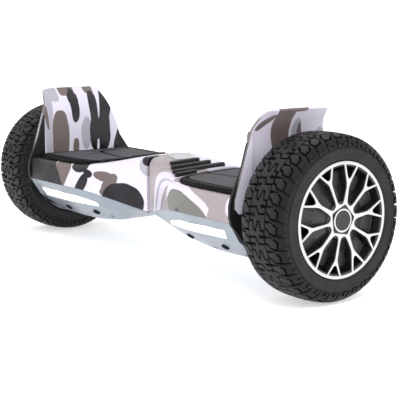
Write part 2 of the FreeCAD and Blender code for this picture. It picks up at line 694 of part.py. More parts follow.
def make_bushes():
    """Two bronze bushes in the right chassis."""
    inner = PIVOT_R + RUNNING_GAP
    first = tube(BUSH_R, inner, (6.0, 0, AXIS_Z), (6.0 + BUSH_L, 0, AXIS_Z))
    second = tube(BUSH_R, inner, (PIVOT_END - BUSH_L, 0, AXIS_Z), (PIVOT_END, 0, AXIS_Z))
    return group([first, second])


def make_circlip():
    """Circlip that keeps the right chassis on the shaft."""
    x = PIVOT_END + 1.05
    ring = tube(PIVOT_R + 2.3, PIVOT_R - 0.9, (x, 0, AXIS_Z), (x + 1.5, 0, AXIS_Z))
    return ring.cut(box((x - 1.0, -3.0, AXIS_Z - 20.0), (x + 3.0, 3.0, AXIS_Z)))


def make_harness():
    """Cable through the hollow shaft, from the battery to the controller."""
    cable = rod(4.0, (-68.0, 0, AXIS_Z), (78.0, 0, AXIS_Z))
    plug = box((76.0, -6.0, AXIS_Z - 4.0), (90.0, 6.0, AXIS_Z + 4.0))
    return fused([cable, plug])


# ---- wheels -----------------------------------------------------------------------------
def wheel_x():
    """Middle of the right tyre."""
    return TRACK / 2.0


def make_tyre():
    """Tubeless tyre with squarish shoulders and three round grooves."""
    half = TYRE_W / 2.0
    tread = half - 10.0
    profile = [
        (-half + 4.0, RIM_R), (-half + 1.5, RIM_R + 3.0), (-half, RIM_R + 12.0), (-half, 92.0),
        (-half + 2.0, 98.0), (-half + 5.5, 102.5), (-tread, 105.5),
    ]
    crown = [(-18.0, 107.5), (-15.5, 107.6), (-14.5, 102.5), (-12.5, 102.5), (-11.5, 107.8)]
    profile += crown
    profile += [(-1.5, 108.0), (-1.0, 103.0), (1.0, 103.0), (1.5, 108.0)]
    profile += [(-t, r) for t, r in reversed(crown)]
    profile += [(-t, r) for t, r in reversed(profile[:7])]
    return turned(profile, wheel_x())


def make_drum():
    """Aluminium motor drum and rim with its outer wall and bearing seat."""
    seat = BEARING_R
    profile = [
        (-RIM_HALF_W - 1.0, RIM_BORE_R), (-RIM_HALF_W - 1.0, RIM_R), (RIM_HALF_W + 2.0, RIM_R),
        (RIM_HALF_W + 2.0, RIM_R - 4.0), (20.0, RIM_R - 6.0), (20.0, BEARING_R - 4.0), (17.0, BEARING_R - 4.0),
        (17.0, seat), (5.0, seat), (5.0, seat + 5.0), (14.0, seat + 7.0), (14.0, RIM_BORE_R),
    ]
    return turned(profile, wheel_x()).cut(cover_holes(COVER_SCREW_R))


def make_magnets():
    """Thirty magnets around the inside of the drum."""
    x0 = wheel_x() - 13.0
    ring = tube(RIM_BORE_R, RIM_BORE_R - MAGNET_T, (x0, 0, AXIS_Z), (x0 + 26.0, 0, AXIS_Z))
    slots = []
    for i in range(MAGNETS):
        slot = box((x0 - 1.0, -0.4, AXIS_Z + 55.0), (x0 + 27.0, 0.4, AXIS_Z + RIM_BORE_R - 0.8))
        slot.rotate(V(0, 0, AXIS_Z), X_AXIS, 360.0 / MAGNETS * i)
        slots.append(slot)
    return ring.cut(slots)


def make_motor_cover():
    """Inner motor cover with its bearing seat."""
    profile = [
        (-RIM_HALF_W - 1.0, RIM_R - 1.0), (-RIM_HALF_W - 4.5, RIM_R - 2.0), (-RIM_HALF_W - 4.5, BEARING_R - 5.0),
        (-RIM_HALF_W - 3.0, BEARING_R - 5.0), (-RIM_HALF_W - 3.0, BEARING_R), (-24.0, BEARING_R),
        (-24.0, BEARING_R + 4.0), (-RIM_HALF_W + 1.5, BEARING_R + 8.0), (-RIM_HALF_W + 1.5, RIM_BORE_R - 0.1),
        (-RIM_HALF_W - 1.0, RIM_BORE_R - 0.1),
    ]
    cover = turned(profile, wheel_x())
    return cover.cut(cover_holes(COVER_SCREW_R))


def cover_screw_places():
    """(y, z) of each screw of the motor cover."""
    places = []
    for i in range(COVER_SCREWS):
        angle = math.radians(360.0 / COVER_SCREWS * i + 30.0)
        places.append((COVER_SCREW_PCD / 2.0 * math.cos(angle), AXIS_Z + COVER_SCREW_PCD / 2.0 * math.sin(angle)))
    return places


def cover_holes(radius):
    """Bars on the screw circle of the motor cover."""
    return [rod(radius, (wheel_x() - 40.0, y, z), (wheel_x() - 24.0, y, z)) for y, z in cover_screw_places()]


def make_cover_screws():
    """Screws that close the motor."""
    x = wheel_x() - RIM_HALF_W - 4.5
    return group([screw((x, y, z), (1, 0, 0), 12.0, COVER_SCREW_R, 3.4, 1.0) for y, z in cover_screw_places()])


def make_bearings():
    """Inner and outer ball bearings, each drawn as one sealed ring."""
    rings = []
    for t in (-RIM_HALF_W - 3.0, 7.0):
        x = wheel_x() + t
        ring = tube(BEARING_R, AXLE_R + RUNNING_GAP, (x, 0, AXIS_Z), (x + BEARING_W, 0, AXIS_Z))
        lips = [tube(BEARING_R - 3.0, AXLE_R + 2.0, (x + off, 0, AXIS_Z), (x + off + 0.6, 0, AXIS_Z))
                for off in (0.0, BEARING_W - 0.6)]
        rings.append(ring.cut(lips))
    return group(rings)


def make_axle():
    """Hollow motor axle with two flats in the clamp."""
    x0 = AXLE_START
    axle = rod(AXLE_R, (x0, 0, AXIS_Z), (wheel_x() + 17.5, 0, AXIS_Z))
    bore = rod(AXLE_CABLE_R, (x0 - 1.0, 0, AXIS_Z), (wheel_x() - 36.0, 0, AXIS_Z))
    outlet = rod(3.4, (wheel_x() - 39.0, 0, AXIS_Z), (wheel_x() - 21.0, 0, AXIS_Z + 18.0))
    return axle.cut([bore, outlet])


def make_stator():
    """Laminated stator with wound teeth on the axle."""
    x0 = wheel_x() - STATOR_HALF_W
    x1 = wheel_x() + 3.0
    core = tube(STATOR_R - 16.0, STATOR_R - 24.0, (x0, 0, AXIS_Z), (x1, 0, AXIS_Z))
    hub = tube(16.0, AXLE_R, (x0 - 1.0, 0, AXIS_Z), (x1, 0, AXIS_Z))
    pieces = [core, hub]
    for i in range(STATOR_TEETH):
        tooth = box((x0, -1.8, AXIS_Z + STATOR_R - 17.0), (x1, 1.8, AXIS_Z + STATOR_R - 2.0))
        shoe = box((x0, -5.6, AXIS_Z + STATOR_R - 3.0), (x1, 5.6, AXIS_Z + STATOR_R - 0.5))
        coil = box((x0 - 2.5, -3.6, AXIS_Z + STATOR_R - 14.0), (x1 + 2.5, 3.6, AXIS_Z + STATOR_R - 5.0))
        for shape in (tooth, shoe, coil):
            shape.rotate(V(0, 0, AXIS_Z), X_AXIS, 360.0 / STATOR_TEETH * i)
            pieces.append(shape)
    for i in range(5):
        arm = box((x0 + 3.0, -4.0, AXIS_Z + 14.0), (x1 - 3.0, 4.0, AXIS_Z + STATOR_R - 23.0))
        arm.rotate(V(0, 0, AXIS_Z), X_AXIS, 72.0 * i)
        pieces.append(arm)
    return fused(pieces)


def polar(radius, degrees, t):
    """Point of the wheel face; degrees run from the rear upward, seen from outside."""
    angle = math.radians(degrees)
    return V(wheel_x() + t, radius * math.cos(angle), AXIS_Z + radius * math.sin(angle))


def face_bar(a, b, width_a, width_b, t_low, t_high):
    """Tapered bar on the wheel face between two (radius, degrees) places."""
    start = polar(a[0], a[1], t_low)
    end = polar(b[0], b[1], t_low)
    side = (end - start).cross(X_AXIS).normalize()
    corners = [start + side * (width_a / 2), end + side * (width_b / 2),
               end - side * (width_b / 2), start - side * (width_a / 2)]
    return Part.Face(Part.makePolygon(corners + corners[:1])).extrude(V(t_high - t_low, 0, 0))


def spoke_bars(t_low, t_high, extra):
    """Ten forked spokes, thin and fat in turn."""
    bars = []
    reach = RIM_R - TRIM_RING_W + 0.6
    for i in range(SPOKES):
        mid = SPOKE_PHASE + 360.0 / SPOKES * i
        fat = i % 2 == 0
        root = HUB_PENTAGON_R * (0.82 if fat else 0.98)
        fork = 45.0 if fat else 51.0
        stem_a, stem_b = (7.0, 4.6) if fat else (3.2, 4.6)
        bars.append(face_bar((root, mid), (fork, mid), stem_a + extra, stem_b + extra, t_low, t_high))
        for turn in (-ARM_SPREAD, ARM_SPREAD):
            bars.append(face_bar((fork - 2.0, mid), (reach, mid + turn), ARM_W + 0.8 + extra, ARM_W + extra,
                                 t_low, t_high))
    return bars


def pentagon(radius, t_low, t_high):
    """Five-sided plate whose corners carry the thin spokes."""
    corners = [polar(radius, SPOKE_PHASE + 36.0 + 72.0 * i, t_low) for i in range(5)]
    return Part.Face(Part.makePolygon(corners + corners[:1])).extrude(V(t_high - t_low, 0, 0))


def make_trim():
    """Bright face of the wheel cover: ring, forked spokes, five-sided hub and eye ring."""
    low = TRIM_FACE_T - TRIM_T
    high = TRIM_FACE_T
    x_low = wheel_x() + low
    x_high = wheel_x() + high
    ring = tube(RIM_R, RIM_R - TRIM_RING_W, (x_low, 0, AXIS_Z), (x_high, 0, AXIS_Z))
    hub = pentagon(HUB_PENTAGON_R + 1.0, low, high).cut(pentagon(HUB_PENTAGON_R - 1.4, low - 1, high + 1))
    face = fused([ring, hub] + spoke_bars(low, high, 0.0))
    eye = tube(EYE_R, EYE_R - 1.9, (x_low, 0, AXIS_Z), (x_high + 0.4, 0, AXIS_Z))
    return group([face, eye])


def make_hub_cap():
    """Dark wheel cover behind the bright face: dished disc, rim and spoke backs."""
    dish = turned([
        (20.5, 12.0), (20.5, 60.0), (24.0, 67.0), (36.2, RIM_R - 4.2), (36.2, RIM_R - 0.2), (37.2, RIM_R - 0.2),
        (37.2, RIM_R - 6.0), (26.0, RIM_R - 9.0), (23.0, 59.0), (33.0, 26.0), (37.0, 24.0),
        (37.0, EYE_R + 0.1), (28.0, 12.0),
    ], wheel_x())
    backs = [bar.common(rod(RIM_R - 5.6, (wheel_x(), 0, AXIS_Z), (wheel_x() + 50.0, 0, AXIS_Z)))
             for bar in spoke_bars(24.5, TRIM_FACE_T - TRIM_T, 0.6)]
    return fused([dish] + backs)


def make_centre_cap():
    """Small dark disc in the middle of the wheel cover."""
    return turned([(28.5, 0.0), (28.5, 11.0), (37.0, EYE_R - 2.0), (39.4, EYE_R - 2.0), (39.8, EYE_R - 3.2),
                   (39.8, 0.0)], wheel_x())


# ---- button and charging port on the rear face of the right half ------------------------
def make_power_switch():
    """Switch body and its bezel."""
    place, out = rear_face_place(BUTTON_X, FACE_Z)
    bezel = Part.makeCylinder(BUTTON_R + 3.5, 1.5, place + out * FACE_FIT, out)
    body = Part.makeCylinder(BUTTON_R + 2.0, 14.5, place - out * 14.0, out)
    hole = Part.makeCylinder(BUTTON_R + 0.4, 12.0, place - out * 10.0, out)
    return fused([bezel, body]).cut(hole)


def make_power_button():
    """Round power button, 1 mm of travel."""
    place, out = rear_face_place(BUTTON_X, FACE_Z)
    button = Part.makeCylinder(BUTTON_R, 10.8, place - out * 8.4, out)
    rims = [e for e in button.Edges if (e.CenterOfMass - place).dot(out) > 1.0 and len(e.Vertexes) == 1]
    return button.makeFillet(0.8, rims)


def make_charge_port():
    """Three-pin charging inlet."""
    place, out = rear_face_place(PORT_X, FACE_Z)
    flange = Part.makeCylinder(PORT_R + 1.5, 0.95, place + out * FACE_FIT, out)
    body = Part.makeCylinder(PORT_R - 0.5, PORT_DEPTH + 3.5, place - out * (PORT_DEPTH + 3.0), out)
    hole = Part.makeCylinder(PORT_BORE_R, PORT_DEPTH + 2.0, place - out * PORT_DEPTH, out)
    port = fused([flange, body]).cut(hole)
    side = V(1, 0, 0)
    up = out.cross(side)
    pins = []
    for i in range(3):
        angle = math.radians(90.0 + 120.0 * i)
        foot = place + side * (3.0 * math.cos(angle)) + up * (3.0 * math.sin(angle)) - out * (PORT_DEPTH + 1.0)
        pins.append(Part.makeCylinder(0.8, 7.0, foot, out))
    return fused([port] + pins)


def make_port_cap():
    """Rubber flap over the inlet, hinged at its upper edge."""
    place, out = rear_face_place(PORT_X, FACE_Z)
    side = V(1, 0, 0)
    up = side.cross(out)
    if up.z < 0:
        up = up * -1.0
    lid = Part.makeCylinder(PORT_R + 1.0, 2.0, place + out * 1.6, out)
    corner = place + out * 1.6 - side * 4.0 + up * (PORT_R - 1.0)
    tab_points = [corner, corner + side * 8.0, corner + side * 8.0 + up * 5.5, corner + up * 5.5]
    tab = Part.Face(Part.makePolygon(tab_points + tab_points[:1])).extrude(out * 2.0)
    pull_at = place + out * 1.6 - side * 3.0 - up * (PORT_R + 3.0)
    pull_points = [pull_at, pull_at + side * 6.0, pull_at + side * 6.0 + up * 5.0, pull_at + up * 5.0]
    pull = Part.Face(Part.makePolygon(pull_points + pull_points[:1])).extrude(out * 2.0)
    bead_at = place + out * 2.6 + up * (PORT_R + 4.0)
    bead = Part.makeCylinder(CAP_BEAD_R, 8.0, bead_at - side * 4.0, side)
    return fused([lid, tab, pull, bead])


def rear_cuts():
    """Holes in the right lower shell for the switch and the inlet."""
    cuts = []
    for x, radius in ((BUTTON_X, BUTTON_R + 2.1), (PORT_X, PORT_R - 0.4)):
        place, out = rear_face_place(x, FACE_Z)
        cuts.append(Part.makeCylinder(radius, 20.0, place - out * 15.0, out))
    return cuts


def make_indicator():
    """Status panel on top of the right half."""
    half_l, half_w, low, high = PANEL
    plate = box((-half_l, -half_w, low), (half_l, half_w, high))
    plate = plate.makeFillet(3.0, [e for e in plate.Edges if e.BoundBox.ZLength > 2.0])
    rise = top_height(PANEL_X + half_l) - top_height(PANEL_X - half_l)
    plate.rotate(V(0, 0, 0), V(0, 1, 0), -math.degrees(math.atan2(rise, 2.0 * half_l)))
    plate.translate(V(PANEL_X, 0, top_height(PANEL_X)))
    return plate


# ---- build ---------------------------------------------------------------------------------
lens_hole = make_light_lens(0.25)
upper = make_upper_shell()
lower_left = make_lower_shell([lens_hole])
lower_right = lower_left.cut(rear_cuts())
indicator = make_indicator()

export("right_upper_shell", upper.cut(indicator))
export("left_upper_shell", mirrored(upper))
export("right_lower_shell", lower_right)
export("left_lower_shell", mirrored(lower_left))
export("indicator_panel", indicator)
export_pair("fender", make_fender())
export_pair("wheel_liner", make_liner())
export_pair("foot_mat", make_mat())
export_pair("grip_ribs", make_ribs())
export_pair("light_lens", make_light_lens())
export_pair("light_board", make_light_board())

frame = make_frame()
export("right_frame", frame.cut(rod(BUSH_R, (0, 0, AXIS_Z), (PIVOT_END + 20.0, 0, AXIS_Z))))
export("left_frame", mirrored(frame.cut(rod(PIVOT_R, (0, 0, AXIS_Z), (PIVOT_END + 20.0, 0, AXIS_Z)))))
export_pair("axle_clamp", make_axle_clamp())
export_pair("screws", make_screws())
export_pair("gyro_board", make_gyro_board())
export_pair("axle", make_axle())
export_pair("stator", make_stator())
export("right_motor_cable", make_motor_cable((193.0, 0, 84.0)))
export("left_motor_cable", mirrored(make_motor_cable((204.0, 0, 90.0))))
export("battery_pack", make_battery())
export("battery_straps", make_battery_straps())
export("main_board", make_main_board())
export("pivot_shaft", make_pivot_shaft())
export("pivot_bushes", make_bushes())
export("pivot_circlip", make_circlip())
export("harness_cable", make_harness())

export_pair("tyre", make_tyre())
export_pair("motor_drum", make_drum())
export_pair("magnet_ring", make_magnets())
export_pair("motor_cover", make_motor_cover())
export_pair("cover_screws", make_cover_screws())
export_pair("wheel_bearings", make_bearings())
export_pair("hub_cap", make_hub_cap())
export_pair("hub_trim", make_trim())
export_pair("centre_cap", make_centre_cap())

export("power_switch", make_power_switch())
export("power_button", make_power_button())
export("charge_port", make_charge_port())
export("charge_port_cap", make_port_cap())
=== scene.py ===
"""Looks of the two-wheeled self balancing board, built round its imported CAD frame.

Everything is in metres in the frame's own axes: X along the axles, Y from front to
rear, Z up from the floor. Right pieces are made first and mirrored for the left half.
"""
import logging
import math
import random
from dataclasses import dataclass, field
from enum import Enum
from typing import Callable

import bmesh
import bpy
from mathutils import Euler, Matrix, Vector


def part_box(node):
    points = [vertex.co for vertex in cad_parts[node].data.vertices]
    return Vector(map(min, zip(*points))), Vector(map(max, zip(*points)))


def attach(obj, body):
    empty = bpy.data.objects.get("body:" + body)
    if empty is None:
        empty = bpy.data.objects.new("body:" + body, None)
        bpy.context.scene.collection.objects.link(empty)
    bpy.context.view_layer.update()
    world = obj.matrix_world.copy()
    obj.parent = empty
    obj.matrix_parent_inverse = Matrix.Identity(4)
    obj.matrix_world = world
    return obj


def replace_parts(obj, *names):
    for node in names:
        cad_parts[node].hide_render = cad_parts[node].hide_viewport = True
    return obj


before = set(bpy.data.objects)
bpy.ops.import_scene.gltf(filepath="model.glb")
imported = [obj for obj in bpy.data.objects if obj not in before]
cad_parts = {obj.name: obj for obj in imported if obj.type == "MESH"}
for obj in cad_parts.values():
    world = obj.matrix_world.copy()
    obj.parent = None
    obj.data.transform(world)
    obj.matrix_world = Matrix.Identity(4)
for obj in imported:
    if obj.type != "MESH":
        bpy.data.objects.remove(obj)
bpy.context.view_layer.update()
LOG = logging.getLogger("board")
MM = 0.001
SHARP_ANGLE = math.radians(34.0)

Colour = tuple[float, float, float]
Point2 = tuple[float, float]
Socket = bpy.types.NodeSocket
Feed = Socket | float | tuple[float, ...] | None

# places of the colour mix node's sockets, which share their names
MIX_FACTOR, MIX_FIRST, MIX_SECOND, MIX_RESULT = 0, 6, 7, 2

# how far drift, scratches and dust change the roughness, and the bump's depth in metres
DRIFT_SHARPER, DRIFT_DULLER, SCRATCH_DULLS, DUST_DULLS = 0.05, 0.06, 0.25, 0.5
BUMP_DEPTH = 0.0006

# shares of a tread block's height: where its bevel starts, and how far its wall goes down
BEVEL_FOOT, WALL_FOOT = 0.82, -0.15
WELD = 1e-6
LEAST_LEAN = 0.35


class Side(Enum):
    """Half of the board that a piece belongs to."""

    RIGHT = 1.0
    LEFT = -1.0

    @property
    def prefix(self) -> str:
        """Start of the names of this half's nodes."""
        return self.name.lower()

    @property
    def half(self) -> str:
        """Body that carries this half's shells."""
        return f"{self.prefix}_half"

    @property
    def wheel(self) -> str:
        """Body that turns with this half's wheel."""
        return f"{self.prefix}_wheel"

    @property
    def mat(self) -> str:
        """Body that sinks with this half's foot mat."""
        return f"{self.prefix}_mat"


# ---- shader sheets ----------------------------------------------------------------
class Sheet:
    """A shader node tree with short ways to add nodes and join sockets."""

    def __init__(self, tree: bpy.types.NodeTree) -> None:
        """Keeps the tree that nodes are added to.

        Args:
            tree: a material's or a group's node tree.
        """
        self.tree = tree

    def add(self, kind: str, **settings: object) -> bpy.types.Node:
        """Adds a node.

        Args:
            kind: Blender's name of the node type, without "ShaderNode".
            settings: values for the node's own properties.

        Returns:
            The new node.
        """
        node = self.tree.nodes.new("ShaderNode" + kind)
        for name, value in settings.items():
            setattr(node, name, value)
        return node

    def put(self, socket: Socket, value: Feed) -> None:
        """Joins a socket to a value or to another socket.

        Args:
            socket: the input to set.
            value: an output socket, a number, a colour or None to leave it.
        """
        if isinstance(value, bpy.types.NodeSocket):
            self.tree.links.new(value, socket)
        elif value is not None:
            socket.default_value = value

    def maths(self, operation: str, first: Feed, second: Feed = None, clamp: bool = False) -> Socket:
        """Adds a maths node.

        Args:
            operation: the maths node's operation.
            first: first value.
            second: second value, for operations with two.
            clamp: whether the result is kept from 0 to 1.

        Returns:
            The result's socket.
        """
        node = self.add("Math", operation=operation, use_clamp=clamp)
        self.put(node.inputs[0], first)
        self.put(node.inputs[1], second)
        return node.outputs[0]

    def vector(self, operation: str, first: Feed, second: Feed = None) -> Socket:
        """Adds a vector maths node.

        Args:
            operation: the node's operation.
            first: first vector.
            second: second vector, for operations with two.

        Returns:
            The result's socket, a number for LENGTH and DOT_PRODUCT.
        """
        node = self.add("VectorMath", operation=operation)
        self.put(node.inputs[0], first)
        self.put(node.inputs[1], second)
        single = operation in ("LENGTH", "DOT_PRODUCT")
        return node.outputs["Value" if single else "Vector"]

    def scaled(self, vector: Feed, factor: float) -> Socket:
        """Vector times a number."""
        return self.vector("MULTIPLY", vector, (factor, factor, factor))

    def remap(self, value: Feed, low: float, high: float,
              to_low: float = 0.0, to_high: float = 1.0) -> Socket:
        """Maps a range of values onto another, smoothly and without overshoot.

        Args:
            value: the value to map.
            low: where the range starts.
            high: where the range ends.
            to_low: result at the start.
            to_high: result at the end.

        Returns:
            The mapped value's socket.
        """
        node = self.add("MapRange", interpolation_type="SMOOTHSTEP")
        for socket, number in zip(node.inputs[:5], (value, low, high, to_low, to_high)):
            self.put(socket, number)
        return node.outputs[0]

    def mix(self, mask: Feed, first: Feed, second: Feed) -> Socket:
        """Mixes two colours.

        Args:
            mask: 0 for the first colour, 1 for the second.
            first: first colour.
            second: second colour.

        Returns:
            The mixed colour's socket.
        """
        node = self.add("Mix", data_type="RGBA")
        self.put(node.inputs[MIX_FACTOR], mask)
        self.put(node.inputs[MIX_FIRST], paint(first))
        self.put(node.inputs[MIX_SECOND], paint(second))
        return node.outputs[MIX_RESULT]

    def noise(self, vector: Feed, scale: Feed, detail: float = 2.0, colour: bool = False) -> Socket:
        """Adds a noise texture.

        Args:
            vector: place in metres.
            scale: features per metre.
            detail: octaves.
            colour: whether the three-channel output is wanted.

        Returns:
            The texture's socket.
        """
        node = self.add("TexNoise")
        self.put(node.inputs["Vector"], vector)
        self.put(node.inputs["Scale"], scale)
        self.put(node.inputs["Detail"], detail)
        return node.outputs["Color" if colour else "Fac"]

    def place(self, group: bpy.types.NodeTree, **values: Feed) -> bpy.types.Node:
        """Places a node group.

        Args:
            group: the group's tree.
            values: inputs by name, with _ for a space.

        Returns:
            The group's node.
        """
        node = self.add("Group", node_tree=group)
        for name, value in values.items():
            self.put(node.inputs[name.replace("_", " ")], value)
        return node

    def here(self) -> Socket:
        """Place in the frame's axes, in metres."""
        return self.add("TexCoord").outputs["Object"]

    def split(self, vector: Feed) -> bpy.types.Node:
        """Parts a vector.

        Args:
            vector: the vector.

        Returns:
            The node with the outputs X, Y and Z.
        """
        node = self.add("SeparateXYZ")
        self.put(node.inputs[0], vector)
        return node

    def pattern(self, kind: str, vector: Feed, scale: Feed) -> bpy.types.Node:
        """Adds a texture.

        Args:
            kind: Blender's name of the texture, without "ShaderNode".
            vector: place in metres.
            scale: features per metre.

        Returns:
            The texture's node.
        """
        node = self.add(kind)
        self.put(node.inputs["Vector"], vector)
        self.put(node.inputs["Scale"], scale)
        return node


def paint(colour: Feed) -> Feed:
    """Colour with its alpha added where it has none."""
    return (*colour, 1.0) if isinstance(colour, tuple) and len(colour) == 3 else colour


def new_group(name: str, inputs: dict[str, Feed],
              outputs: dict[str, str]) -> tuple[Sheet, bpy.types.Node, bpy.types.Node]:
    """Starts a node group.

    Args:
        name: the group's name.
        inputs: default of each input; a tuple makes a vector socket.
        outputs: socket kind of each output, Float, Color or Vector.

    Returns:
        The group's sheet, its input node and its output node.
    """
    tree = bpy.data.node_groups.new(name, "ShaderNodeTree")
    for label, default in inputs.items():
        kind = "NodeSocketVector" if isinstance(default, tuple) else "NodeSocketFloat"
        socket = tree.interface.new_socket(label, in_out="INPUT", socket_type=kind)
        socket.default_value = default
    for label, kind in outputs.items():
        tree.interface.new_socket(label, in_out="OUTPUT", socket_type="NodeSocket" + kind)
    ends = tree.nodes.new("NodeGroupInput"), tree.nodes.new("NodeGroupOutput")
    return Sheet(tree), *ends


class Effects:
    """Node groups that several materials share."""

    def __init__(self) -> None:
        """Builds every group once."""
        self.grain = self._grain()
        self.edge_wear = self._edge_wear()
        self.dust = self._dust()
        self.scratches = self._scratches()
        self.camo_patch = self._camo_patch()

    @staticmethod
    def _grain() -> bpy.types.NodeTree:
        """Fine moulded or cast grain, with a slow drift of tone.

        Returns:
            The group's tree.
        """
        sheet, given, out = new_group(
            "grain", {"Scale": 1500.0, "Drift Scale": 14.0}, {"Height": "Float", "Drift": "Float"})
        place = sheet.here()
        fine = sheet.noise(place, given.outputs["Scale"], 3.0)
        pits = sheet.pattern("TexVoronoi", place, sheet.maths("MULTIPLY", given.outputs["Scale"], 0.6))
        height = sheet.maths("ADD", fine, sheet.maths("MULTIPLY", pits.outputs["Distance"], 0.5))
        drift = sheet.noise(place, given.outputs["Drift Scale"], 4.0)
        sheet.put(out.inputs["Height"], height)
        sheet.put(out.inputs["Drift"], sheet.remap(drift, 0.3, 0.7))
        return sheet.tree

    @staticmethod
    def _edge_wear() -> bpy.types.NodeTree:
        """Rounded normal at edges, and a broken-up mask of the worn edges.

        Returns:
            The group's tree.
        """
        sheet, given, out = new_group(
            "edge wear", {"Radius": 0.0008, "Amount": 0.5, "Break Scale": 160.0},
            {"Mask": "Float", "Normal": "Vector"})
        round_edge = sheet.add("Bevel", samples=6)
        sheet.put(round_edge.inputs["Radius"], given.outputs["Radius"])
        true_normal = sheet.add("NewGeometry").outputs["Normal"]
        match = sheet.vector("DOT_PRODUCT", round_edge.outputs[0], true_normal)
        edge = sheet.remap(match, 0.995, 0.90)
        place = sheet.here()
        broken = sheet.remap(sheet.noise(place, given.outputs["Break Scale"], 5.0), 0.42, 0.62)
        mask = sheet.maths("MULTIPLY", edge, broken)
        sheet.put(out.inputs["Mask"], sheet.maths("MULTIPLY", mask, given.outputs["Amount"], True))
        sheet.put(out.inputs["Normal"], round_edge.outputs[0])
        return sheet.tree

    @staticmethod
    def _dust() -> bpy.types.NodeTree:
        """Thin dust that lies on faces that look up.

        Returns:
            The group's tree.
        """
        sheet, given, out = new_group("dust", {"Amount": 0.2, "Scale": 60.0}, {"Mask": "Float"})
        normal = sheet.split(sheet.add("NewGeometry").outputs["Normal"])
        upward = sheet.remap(normal.outputs["Z"], 0.1, 1.0)
        place = sheet.here()
        cloud = sheet.remap(sheet.noise(place, given.outputs["Scale"], 6.0), 0.40, 0.70)
        speck = sheet.remap(sheet.noise(place, 2600.0, 1.0), 0.60, 0.72)
        both = sheet.maths("ADD", sheet.maths("MULTIPLY", cloud, 0.6), speck)
        lying = sheet.maths("MULTIPLY", both, upward)
        sheet.put(out.inputs["Mask"], sheet.maths("MULTIPLY", lying, given.outputs["Amount"], True))
        return sheet.tree

    @staticmethod
    def _scratches() -> bpy.types.NodeTree:
        """Hairline scratches that run mostly along X.

        Returns:
            The group's tree.
        """
        sheet, given, out = new_group(
            "scratches", {"Amount": 0.3, "Along": (30.0, 900.0, 900.0)}, {"Mask": "Float"})
        place = sheet.here()
        drawn = sheet.vector("MULTIPLY", place, given.outputs["Along"])
        lines = sheet.remap(sheet.noise(drawn, 1.0, 4.0), 0.62, 0.70)
        where = sheet.remap(sheet.noise(place, 22.0, 3.0), 0.45, 0.62)
        mask = sheet.maths("MULTIPLY", lines, where)
        sheet.put(out.inputs["Mask"], sheet.maths("MULTIPLY", mask, given.outputs["Amount"], True))
        return sheet.tree

    @staticmethod
    def _camo_patch() -> bpy.types.NodeTree:
        """One printed patch: a turned round-cornered blob with a crisp edge.

        Returns:
            The group's tree.
        """
        sheet, given, out = new_group(
            "camo patch",
            {"Place": (0.0, 0.0, 0.0), "Centre": (0.0, 0.0, 0.0), "Turn": (0.0, 0.0, 0.0),
             "Radii": (0.01, 0.01, 0.01), "Squareness": 2.0}, {"Mask": "Float"})
        offset = sheet.vector("SUBTRACT", given.outputs["Place"], given.outputs["Centre"])
        turned = sheet.add("VectorRotate", rotation_type="EULER_XYZ")
        sheet.put(turned.inputs["Vector"], offset)
        sheet.put(turned.inputs["Rotation"], given.outputs["Turn"])
        unit = sheet.vector("DIVIDE", turned.outputs[0], given.outputs["Radii"])
        parts = sheet.split(sheet.vector("ABSOLUTE", unit))
        powers = [sheet.maths("POWER", parts.outputs[i], given.outputs["Squareness"]) for i in range(3)]
        total = sheet.maths("ADD", sheet.maths("ADD", powers[0], powers[1]), powers[2])
        sheet.put(out.inputs["Mask"], sheet.remap(total, 1.05, 0.95))
        return sheet.tree


FX = Effects()


